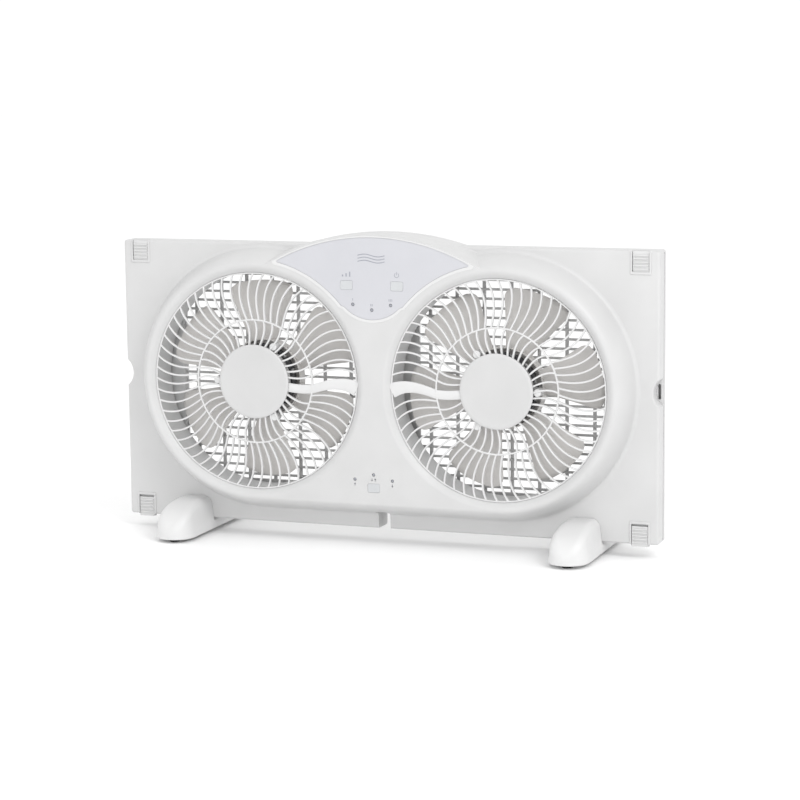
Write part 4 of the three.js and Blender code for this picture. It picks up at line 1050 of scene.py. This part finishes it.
def hub_cover(end, side):
    """A disc with a shallow dish inside a soft raised rim."""
    back = HUB_HIGH[1]
    rim = HUB_RADIUS
    curves = [
        ((8, 0.75), (22, 0.72), (30, 0.5), (rim - 5.1, 0.16), 10),
        ((rim - 4.1, 0.02), (rim - 3.1, 0), (rim - 1.9, 0), (rim - 1.1, 0.3), 6),
        ((rim - 0.5, 0.55), (rim - 0.15, 0.75), (rim, 0.95), (rim, back - FRONT), 5),
    ]
    profile = [(0, FRONT + 0.75)]
    for *ends, steps in curves:
        profile += [(radius, FRONT + depth) for radius, depth in bezier(*ends, steps)]
    profile += [(rim - 0.7, back), (0, back)]
    solid = lathed(side * FAN_X, FAN_Z, profile, 160)
    form(f"hub_cover_{end}", solid, HUB, "grille_white", sharp=50)


def rear_grille(end, side):
    """Level slats in a frame, with upright bars behind them."""
    solid = Solid()
    front, back = REAR_GRILLE_LOW[1], REAR_GRILLE_LOW[1] + SLAT_DEPTH
    width, height = WINDOW_WIDTH / 2, WINDOW_HEIGHT / 2
    hole = rectangle(GAP - width, width - GAP, 3 - height, height - 3, 2)
    rim = rectangle(-width - REAR_RIM, width + REAR_RIM, -height - REAR_RIM, height + REAR_RIM, 2)
    solid.slab(rim, front, back, 0.4, 0.3, [hole])
    half = SLAT_THICKNESS / 2
    rows = int((height - 3) / SLAT_PITCH)
    for k in range(-rows, rows + 1):
        z = k * SLAT_PITCH
        section = rounded([(front, z - half), (back, z - half + 0.2),
                           (back, z + half - 0.2), (front, z + half)], 0.55, 3)
        solid.tube([[(x, py, pz) for py, pz in section] for x in (-width - 0.4, width + 0.4)])
    half = BAR_WIDTH / 2
    bars = int(width / BAR_PITCH - 0.2)
    for k in range(-bars, bars + 1):
        x = k * BAR_PITCH
        section = rounded([(x - half, back - 0.6), (x + half, back - 0.6),
                           (x + half - 0.3, REAR_GRILLE_HIGH[1]),
                           (x - half + 0.3, REAR_GRILLE_HIGH[1])], 0.8, 3)
        solid.tube([[(px, py, z) for px, py in section] for z in (GAP - height, height - GAP)])
    solid.at_fan(side)
    form(f"rear_grille_{end}", solid, REAR, "grille_white")


# ---- Motor and impeller -------------------------------------------------------------


def motor_front_cap(end, side):
    """A cast cap with three ears for its screws and a ring of studs."""
    solid = Solid()
    low, high = RIB_BACK + GAP, STATOR_LOW[1] - GAP
    radius = MOTOR_RADIUS - 2
    profile = rounded([(0, low), (radius - 1, low), (radius, high), (SHAFT_HOLE, high),
                       (SHAFT_HOLE, low + 2.7), (0, low + 2.7)], 1.4, 4, closed=False)
    solid.lathe(0, 0, profile, 96)
    for angle in BOSS_ANGLES:
        place = Vector(polar(angle, BOSS_CIRCLE))
        root = place * (MOTOR_RADIUS - 6) / BOSS_CIRCLE
        outline = arc(place.x, place.y, 4.5, angle - 90, angle + 90, 16)
        outline += arc(root.x, root.y, 4.5, angle + 90, angle + 270, 8)
        hole = circle(place.x, place.y, SCREW_HOLE_RADIUS, 20)
        solid.slab(outline, BOSS_BACK + GAP, BOSS_BACK + GAP + 2.5, 0.5, 0.5, [hole])
    stud = rounded([(0, high - 0.2), (2.2, high - 0.2), (2.2, low), (0, low)], 0.6, 3, closed=False)
    for k in range(12):
        x, z = polar(k * 30 + 15, radius - 6)
        solid.lathe(x, z, stud, 20)
    solid.at_fan(side, mirror=True)
    form(f"motor_front_cap_{end}", solid, CAST, "motor_cast")


def motor_stator(end, side):
    """A stack of laminations with slots round its edge."""
    teeth = 12
    pitch = 360 / teeth
    outline = []
    for k in range(teeth):
        outline += arc(0, 0, MOTOR_RADIUS, (k - 0.35) * pitch, (k + 0.35) * pitch, 6)
        outline += arc(0, 0, MOTOR_RADIUS - 5, (k + 0.38) * pitch, (k + 0.62) * pitch, 3)
    solid = plate(outline, STATOR_LOW[1], STATOR_HIGH[1], 0.3, 0.3, [circle(0, 0, STATOR_BORE, 64)])
    solid.at_fan(side)
    form(f"motor_stator_{end}", solid, LAMINATION, "lamination")


def motor_rear_cap(end, side):
    low, high = span(f"motor_rear_cap_{end}")
    y0, y1 = low[1], high[1]
    profile = rounded([(SHAFT_HOLE, y0), (MOTOR_RADIUS - 2, y0), (MOTOR_RADIUS - 2.6, y0 + 3.4),
                       (MOTOR_RADIUS - 7, y1), (5.8, y1), (5.8, y1 - 4), (SHAFT_HOLE, y1 - 4)], 1.2, 4)
    solid = lathed(side * FAN_X, FAN_Z, profile, 96, closed=True)
    form(f"motor_rear_cap_{end}", solid, CAST, "motor_cast")


def collar(node, inner, radius, edge, material, slot, body="housing"):
    """A plain turned ring with rounded edges, such as a bush or a rotor."""
    low, high = span(node)
    x, _, z = middle(node)
    profile = rounded([(inner, low[1]), (radius, low[1]), (radius, high[1]), (inner, high[1])], edge, 4)
    form(node, lathed(x, z, profile, 64, closed=True), material, slot, body)


def motor_internals(end):
    """The bush, the rotor and the shaft."""
    spin = f"fan_{end}"
    collar(f"motor_bush_{end}", SHAFT_RADIUS + 0.14, 5.5, 0.4, BRONZE, "bronze")
    collar(f"motor_rotor_{end}", SHAFT_HOLE, ROTOR_RADIUS, 0.5, LAMINATION, "lamination", spin)
    node = f"motor_shaft_{end}"
    low, high = span(node)
    x, _, z = middle(node)
    profile = [(0, low[1]), (SHAFT_RADIUS, low[1]), (SHAFT_RADIUS, high[1]), (0, high[1])]
    shaft = lathed(x, z, rounded(profile, 0.7, 4, closed=False), 48)
    form(node, shaft, STEEL, "steel", spin)


def add_blade(solid, middle_angle):
    """One paddle: a bent plate with soft edges and round outer corners."""
    tip = OPENING_RADIUS - BLADE_TIP_GAP
    front = IMPELLER_LOW[1]
    depth = IMPELLER_HIGH[1] - front
    rows = []
    radial, around = 26, 30
    for i in range(radial + 1):
        v = i / radial
        radius = mix(CUP_RADIUS - 1, tip, v)
        corner = max(0.0, (v - 0.8) / 0.2)
        taper = 1 - 0.33 * (1 - math.sqrt(max(0, 1 - corner**2)))
        spread = BLADE_SPAN * (0.86 + 0.14 * v) * taper
        edge = math.sqrt(max(0.02, 1 - v**24))
        row = []
        for face in (-1, 1):
            for j in range(around + 1 if face < 0 else around - 1):
                u = j / around - 0.5 if face < 0 else 0.5 - (j + 1) / around
                x, z = polar(middle_angle - u * spread, radius)
                swell = math.sqrt(max(0.0, 1 - abs(2 * u) ** 12))
                y = front + depth / 2 + u * (depth - 4) - 1.6 * (1 - 4 * u * u)
                row.append((x, y + face * BLADE_HALF_THICKNESS * swell * edge, z))
        rows.append(row)
    solid.tube(rows)


def impeller(end, side):
    """A cup over the motor's rear with the blades round it."""
    solid = Solid()
    back = IMPELLER_HIGH[1]
    inner = CUP_RADIUS - 2
    profile = rounded([(SHAFT_HOLE, back - 5.5), (8, back - 5.5), (8, back - 2.5),
                       (inner, back - 2.5), (inner, back - 14), (CUP_RADIUS, back - 14),
                       (CUP_RADIUS, back), (SHAFT_HOLE, back)], 1.6, 5)
    solid.lathe(0, 0, profile, 120, closed=True)
    for k in range(BLADE_COUNT):
        add_blade(solid, REST_ANGLE[end] + k * 360 / BLADE_COUNT)
    solid.at_fan(side)
    form(f"impeller_{end}", solid, BLADE, "blade_white", f"fan_{end}", 40)


def blade_nut(end):
    low, high = span(f"blade_nut_{end}")
    x, _, z = middle(f"blade_nut_{end}")
    hexagon = rounded([polar(REST_ANGLE[end] + 60 * k + 30, 6.3) for k in range(6)], 0.8, 3)
    outline = [(x + u, z + v) for u, v in hexagon]
    solid = plate(outline, low[1], high[1], 0.5, 0.5, [circle(x, z, SHAFT_HOLE, 32)])
    form(f"blade_nut_{end}", solid, BLADE, "blade_white", f"fan_{end}")


def screw(node):
    """A pan-head screw whose cross recess faces backwards."""
    low, high = span(node)
    x, _, z = middle(node)
    radius = (high[0] - low[0]) / 2
    head = high[1] - (1.45 if radius > 3.1 else 1.8)
    profile = [(0, low[1]), (0.6, low[1]), (1.5, low[1] + 1.6), (1.5, head), (radius * 0.97, head)]
    profile += bezier((radius, head + 0.3), (radius, high[1] - 0.25),
                      (radius * 0.6, high[1]), (0, high[1]), 7)
    shape = lathed(x, z, profile, 36)
    cross = []
    for u, v in ((1.7, 0.35), (0.35, 1.7)):
        cross.append(block((x - u, high[1] - 0.9, z - v), (x + u, high[1] + 1, z + v), 0.1))
    mesh = combined(shape, [], cross)
    form(node, mesh, STEEL, "steel")


# ---- Extenders, locks, feet ---------------------------------------------------------


def extender(end, side):
    """A thin sliding panel with shallow pressed fields, a stop lip and a finger groove."""
    low, high = span(f"extender_{end}")
    y0, y1 = EXTENDER_LOW[1], EXTENDER_LOW[1] + EXTENDER_THICKNESS
    outline = rectangle(low[0], high[0], low[2], high[2], 2)
    base = plate(outline, y0, y1, 0.4, 0.4)
    inner = EXTENDER_LOW[0]
    lip = sorted((side * inner, side * (inner + STOP_THICKNESS)))
    joined = [block((lip[0], y1 - 1, FAN_Z - 45), (lip[1], high[1], FAN_Z + 45), 0.4)]
    cutters = []
    fields = 4
    margin = 6
    pitch = (high[2] - low[2] - margin) / fields
    for k in range(fields):
        z0 = low[2] + margin + k * pitch
        x0, x1 = sorted((side * (inner + 5), side * (PANEL_END - 9)))
        field = rectangle(x0, x1, z0, z0 + pitch - margin, 3)
        cutters.append(plate(field, y0 - 1, y0 + 0.5))
        cutters.append(plate(field, y1 - 0.5, y1 + 1))
    outer = PANEL_END - GAP
    x0, x1 = sorted((side * (outer - 5), side * (outer - 1.8)))
    cutters.append(plate(rectangle(x0, x1, FAN_Z - 8, FAN_Z + 8, 1.4), y0 - 1, y1 + 1))
    mesh = combined(base, joined, cutters)
    form(f"extender_{end}", mesh, EXTENDER, "extender_white", f"extender_{end}")


def window_lock(node):
    """A sliding catch: a flanged plate with rounded grip ribs."""
    low, high = span(node)
    x = (low[0] + high[0]) / 2
    half = (high[0] - low[0]) / 2 - 1.2
    front = low[1]
    solid = Solid()
    solid.slab(rectangle(x - half, x + half, low[2], high[2], 0.9), front + 1.3, high[1], 0.4, 0.2)
    flange = rectangle(low[0], high[0], low[2], high[2], 0.9)
    solid.slab(flange, high[1] - 1.2, high[1] - 0.02, 0.2, 0.2)
    up = 1 if "upper" in node else -1
    inner = low[2] if up > 0 else high[2]
    for k in range(5):
        z = inner + up * (3 + k * 3.5)
        base = front + 1.6
        section = rounded([(front, z - 0.7), (front, z + 0.7), (base, z + 1), (base, z - 1)], 0.65, 4)
        rows = []
        for across_x, share in ((0.2 - half, 0.55), (0.9 - half, 1), (half - 0.9, 1), (half - 0.2, 0.55)):
            rows.append([(x + across_x, mix(base, y, share), mix(z, pz, share)) for y, pz in section])
        solid.tube(rows)
    form(node, solid, LOCK, "lock_white", node)


def foot_height(y):
    """Height of the crown along the foot: flat in the middle and domed to each nose."""
    end = FOOT_HIGH[1]
    crown = end * 0.38
    nose = FOOT_LOW[2] + FOOT_NOSE_HEIGHT
    share = min(1.0, max(0.0, (abs(y) - crown) / (end - crown)))
    return nose + (FOOT_HIGH[2] - nose) * math.sqrt(1 - share**2)


def foot_half_width(y):
    half = (FOOT_HIGH[0] - FOOT_LOW[0]) / 2
    reach = max(0.0, abs(y) - (FOOT_HIGH[1] - FOOT_NOSE)) / FOOT_NOSE
    return half * max(0.0, 1 - min(1.0, reach) ** 2.6) ** (1 / 2.3)


def foot_section(half, low, top):
    """A tapering section with a small radius at the base and a generous one at the crown."""
    height = top - low
    upper = half * (1 - FOOT_TAPER * height / (FOOT_HIGH[2] - low))
    soft = min(8.5, height * 0.45, upper * 0.9)
    corners = [(-half, low, 1.5), (half, low, 1.5), (upper, top, soft), (-upper, top, soft)]
    outline = []
    for i, (x, z, edge) in enumerate(corners):
        trio = [corners[i - 1][:2], (x, z), corners[(i + 1) % 4][:2]]
        radius = max(0.02, min(edge, half * 0.6, height * 0.45))
        outline.extend(rounded(trio, radius, 8, closed=False)[1:-1])
    return outline


def foot_rows(x):
    """Sections along the foot, with a slot across the middle that the panel stands in."""
    low = FOOT_LOW[2]
    front, back = PANEL_FRONT - GAP, PANEL_BACK + GAP
    seat = PANEL_LIFT - GAP
    stations = [-FOOT_HIGH[1] * math.cos(math.pi * i / FOOT_STEPS) for i in range(1, FOOT_STEPS)]
    lip = quarter(FOOT_SLOT_EDGE, 4)
    crown = [(y, foot_height(y)) for y in stations if y < front - 2]
    crown += [(front - depth, foot_height(front - depth) - inset) for inset, depth in reversed(lip)]
    crown += [(front, seat), (back, seat)]
    crown += [(back + depth, foot_height(back + depth) - inset) for inset, depth in lip]
    crown += [(y, foot_height(y)) for y in stations if y > back + 2]
    rows = []
    for y, top in crown:
        section = foot_section(max(0.3, foot_half_width(y)), low, max(low + 0.6, top))
        rows.append([(x + u, y, v) for u, v in section])
    return rows


def foot(end, side):
    x = side * (FOOT_LOW[0] + FOOT_HIGH[0]) / 2
    low = FOOT_LOW[2]
    length = FOOT_HIGH[1]
    rows = foot_rows(x)
    first = [(x + (px - x) * 0.05, -length, mix(low + 4, pz, 0.3)) for px, _, pz in rows[0]]
    last = [(px, length, pz) for px, _, pz in first]
    solid = Solid()
    solid.tube([first] + rows + [last])
    sockets = []
    for where in ("front", "rear"):
        pad_x, pad_y, _ = middle(f"foot_pad_{where}_{end}")
        sockets.append(upwards(circle(pad_x, pad_y, 5.8, 40), low - 1, low + 1 + GAP))
    mesh = combined(solid, [], sockets)
    form(f"foot_{end}", mesh, FOOT, "foot_white", sharp=40)


def foot_pad(node):
    low, high = span(node)
    x, y, _ = middle(node)
    radius = (high[1] - low[1]) / 2
    profile = rounded([(0, low[2]), (radius - 0.3, low[2]), (radius, low[2] + 1.4),
                       (radius - 0.5, low[2] + 2.6), (radius, high[2]), (0, high[2])],
                      0.7, 4, closed=False)
    solid = lathed(0, 0, profile, 48)
    swap = Matrix(((1, 0, 0, x), (0, 0, 1, y), (0, 1, 0, 0), (0, 0, 0, 1)))
    form(node, solid.turned(swap), RUBBER, "rubber")


# ---- Controls -----------------------------------------------------------------------


def button_cap(node):
    """A cap that fills its hole, on a wider flange behind it."""
    low, high = span(node)
    flange = BUTTON_FLANGE - 0.3
    cap = rectangle(low[0] + flange, high[0] - flange, low[2] + flange, high[2] - flange, 1.5)
    solid = Solid()
    solid.slab(cap, low[1], high[1] - 0.5, 0.3, 0)
    solid.slab(rectangle(low[0], high[0], low[2], high[2], 1.5), high[1] - 1, high[1], 0.2, 0.2)
    form(node, solid, CONTROL, "fascia_grey", node)


def lamp(node):
    low, high = span(node)
    x, _, z = middle(node)
    radius = (high[2] - low[2]) / 2
    front = low[1]
    profile = bezier((0, front), (radius * 0.7, front), (radius, front + 0.25), (radius, front + 0.7), 7)
    profile += [(radius, high[1]), (0, high[1])]
    form(node, lathed(x, z, profile, 32), LENS, "lamp")


def control_fascia():
    holes = control_holes(BUTTONS[:2] + SPEED_LAMPS)
    outline = fascia_outline(GAP - FINE_GAP)
    solid = plate(outline, FASCIA_LOW[1], FASCIA_HIGH[1], 0.35, 0.1, holes)
    form("control_fascia", solid, FILM, "fascia_grey")


def fascia_bead():
    """A low raised bead round the fascia, kept inside the edge of the hump; its plastic is lighter than
    the housing's, a painted highlight along the moulded edge.
    """
    centre = HUMP_TOP - HUMP_FRONT_RADIUS
    limit = HUMP_FRONT_RADIUS - 0.6
    outline = []
    for x, z in fascia_outline(GAP + BEAD_WIDTH):
        share = min(1, limit / math.hypot(x, z - centre))
        outline.append((x * share, centre + (z - centre) * share))
    solid = plate(outline, FRONT - BEAD_RISE, FRONT + 1, BEAD_RISE, 0, [fascia_outline(GAP)])
    # The bead's lighter plastic is a painted highlight, not a different moulding.
    piece("fascia_bead", solid, BEAD_PAINTED_HIGHLIGHT, "housing", [])


def add_stroke(solid, points, width, y0, y1):
    """A printed line along some points."""
    left, right = [], []
    for i, point in enumerate(points):
        before = Vector(points[max(0, i - 1)])
        after = Vector(points[min(len(points) - 1, i + 1)])
        along = (after - before).normalized()
        normal = Vector((-along.y, along.x)) * width / 2
        left.append(tuple(Vector(point) + normal))
        right.append(tuple(Vector(point) - normal))
    solid.slab(right + left[::-1], y0, y1)


def printed_signs():
    """Plain signs: rising bars for speed, a ring and stroke for off, arrows for the airflow."""
    solid = Solid()
    y0, y1 = FASCIA_LOW[1] - 0.07, FASCIA_LOW[1] + 0.05
    x, _, z = middle("speed_button")
    for k in range(3):
        add_stroke(solid, [(x - 4 + 4 * k, z + 9), (x - 4 + 4 * k, z + 11 + 1.6 * k)], 1.4, y0, y1)
    x, _, z = middle("off_button")
    ring = arc(x, z + 11.6, 2.4, 125, 415, 24)
    add_stroke(solid, ring, 0.6, y0, y1)
    add_stroke(solid, [(x, z + 11.6), (x, z + 14.8)], 0.6, y0, y1)
    for count, node in enumerate(SPEED_LAMPS, 1):
        x, _, z = middle(node)
        for k in range(count):
            px = x + (k - (count - 1) / 2) * 1.6
            add_stroke(solid, [(px, z + 4), (px, z + 6.4)], 0.7, y0, y1)
    top = PANEL_TOP - 8
    for k in range(3):
        wave = []
        for i in range(41):
            t = i / 40
            wave.append((mix(-15, 15, t), top - 3.2 * k + 1.3 * math.sin(2 * math.pi * t)))
        add_stroke(solid, wave, 0.9, y0, y1)
    piece("fascia_signs", solid, INK, "housing", [])
    arrows = Solid()
    for node, places in zip(MODE_LAMPS, (((0, 90),), ((1.8, 90), (-1.8, -90)), ((0, -90),))):
        x, _, z = middle(node)
        for shift, direction in places:
            add_arrow(arrows, x + shift, z - 5.2, direction, FRONT, FRONT + 0.08)
    piece("airflow_signs", arrows, INK, "housing", [])


def add_arrow(solid, x, z, degrees, y0, y1):
    spin = Matrix.Rotation(math.radians(degrees - 90), 2)
    shape = [(-0.3, -1.6), (0.3, -1.6), (0.3, 0.2), (1.1, 0.2), (0, 1.7), (-1.1, 0.2), (-0.3, 0.2)]
    solid.slab([tuple(Vector((x, z)) + spin @ Vector(p)) for p in shape], y0, y1)


def circuit_board(node):
    """The CAD board, with softened edges."""
    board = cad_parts[node]
    board.data.materials.clear()
    board.data.materials.append(BOARD)
    soft = board.modifiers.new("Soft edges", "BEVEL")
    soft.width = 0.2 * MM
    soft.segments = 2


def cord_gland():
    """A rubber bush in the back, where the cord would leave."""
    low, high = span("cord_gland")
    x, _, z = middle("cord_gland")
    y0, y1 = low[1], high[1]
    profile = rounded([(3.2, y0), (6, y0), (6, REAR_PLATE - GAP), (5, REAR_PLATE - GAP),
                       (5, PANEL_BACK + GAP), (7, PANEL_BACK + GAP), (5.6, y1), (3.2, y1)], 0.5, 4)
    shape = lathed(x, z, profile, 48, closed=True)
    form("cord_gland", shape, RUBBER, "rubber")


# ---- Assembly -----------------------------------------------------------------------


def build():
    front_housing()
    rear_housing()
    for end, side in SIDES:
        front_grille(end, side)
        hub_cover(end, side)
        rear_grille(end, side)
        motor_front_cap(end, side)
        motor_stator(end, side)
        motor_rear_cap(end, side)
        motor_internals(end)
        impeller(end, side)
        blade_nut(end)
        extender(end, side)
        foot(end, side)
        for number in (1, 2, 3):
            screw(f"motor_screw_{end}_{number}")
        for where in ("front", "rear"):
            foot_pad(f"foot_pad_{where}_{end}")
    for node in LOCKS:
        window_lock(node)
    for node in SCREWS:
        screw(node)
    for node in BUTTONS:
        button_cap(node)
    for node in SPEED_LAMPS + MODE_LAMPS:
        lamp(node)
    for node in ("speed_board", "function_board"):
        circuit_board(node)
    control_fascia()
    fascia_bead()
    printed_signs()
    cord_gland()


# ---- Stage --------------------------------------------------------------------------

CAMERA_PLACE = Vector((0.8985, -2.4273, 0.5450))
CAMERA_FORWARD = Vector((-0.33846, 0.92894, -0.15005))
CAMERA_RIGHT = Vector((0.94007, 0.34084, -0.01035))
LENS_MM = 110.6


def camera():
    """The camera at the photograph's viewing angle."""
    data = bpy.data.cameras.new("camera")
    data.lens = LENS_MM
    data.sensor_width = 36
    item = placed("camera", data)
    up = CAMERA_RIGHT.cross(CAMERA_FORWARD)
    turn = Matrix((CAMERA_RIGHT, up, -CAMERA_FORWARD)).transposed().to_4x4()
    item.matrix_world = Matrix.Translation(CAMERA_PLACE) @ turn
    bpy.context.scene.camera = item


def floor():
    paper = made_of("floor_paper", (grey(0.94), grey(0.96), 300, 2), (0.8, 0.9, 200), specular=0.1)
    mesh = bpy.data.meshes.new("floor")
    reach = 12
    corners = [(-reach, -reach, 0), (reach, -reach, 0), (reach, reach, 0), (-reach, reach, 0)]
    mesh.from_pydata(corners, [], [(0, 1, 2, 3)])
    mesh.materials.append(paper.material)
    item = placed("floor", mesh)


def softbox(name, place, aim, size, power):
    data = bpy.data.lights.new(name, "AREA")
    data.shape = "RECTANGLE"
    data.size = size
    data.size_y = size
    data.energy = power
    turn = (Vector(aim) - Vector(place)).to_track_quat("-Z", "Y")
    placed(name, data).matrix_world = Matrix.Translation(place) @ turn.to_matrix().to_4x4()


def studio():
    world = bpy.data.worlds.new("studio")
    world.use_nodes = True
    shade = world.node_tree.nodes["Background"]
    shade.inputs["Color"].default_value = (1, 1, 1, 1)
    shade.inputs["Strength"].default_value = 1.08
    bpy.context.scene.world = world
    softbox("key", (2.2, -1.7, 2.4), (0, 0, 0.15), 1.4, 36)
    softbox("fill", (0.2, -2.2, 0.3), (0, 0, 0.1), 1.0, 7)
    bpy.context.scene.view_settings.view_transform = "Standard"


build()
floor()
camera()
studio()

bpy.context.view_layer.update()
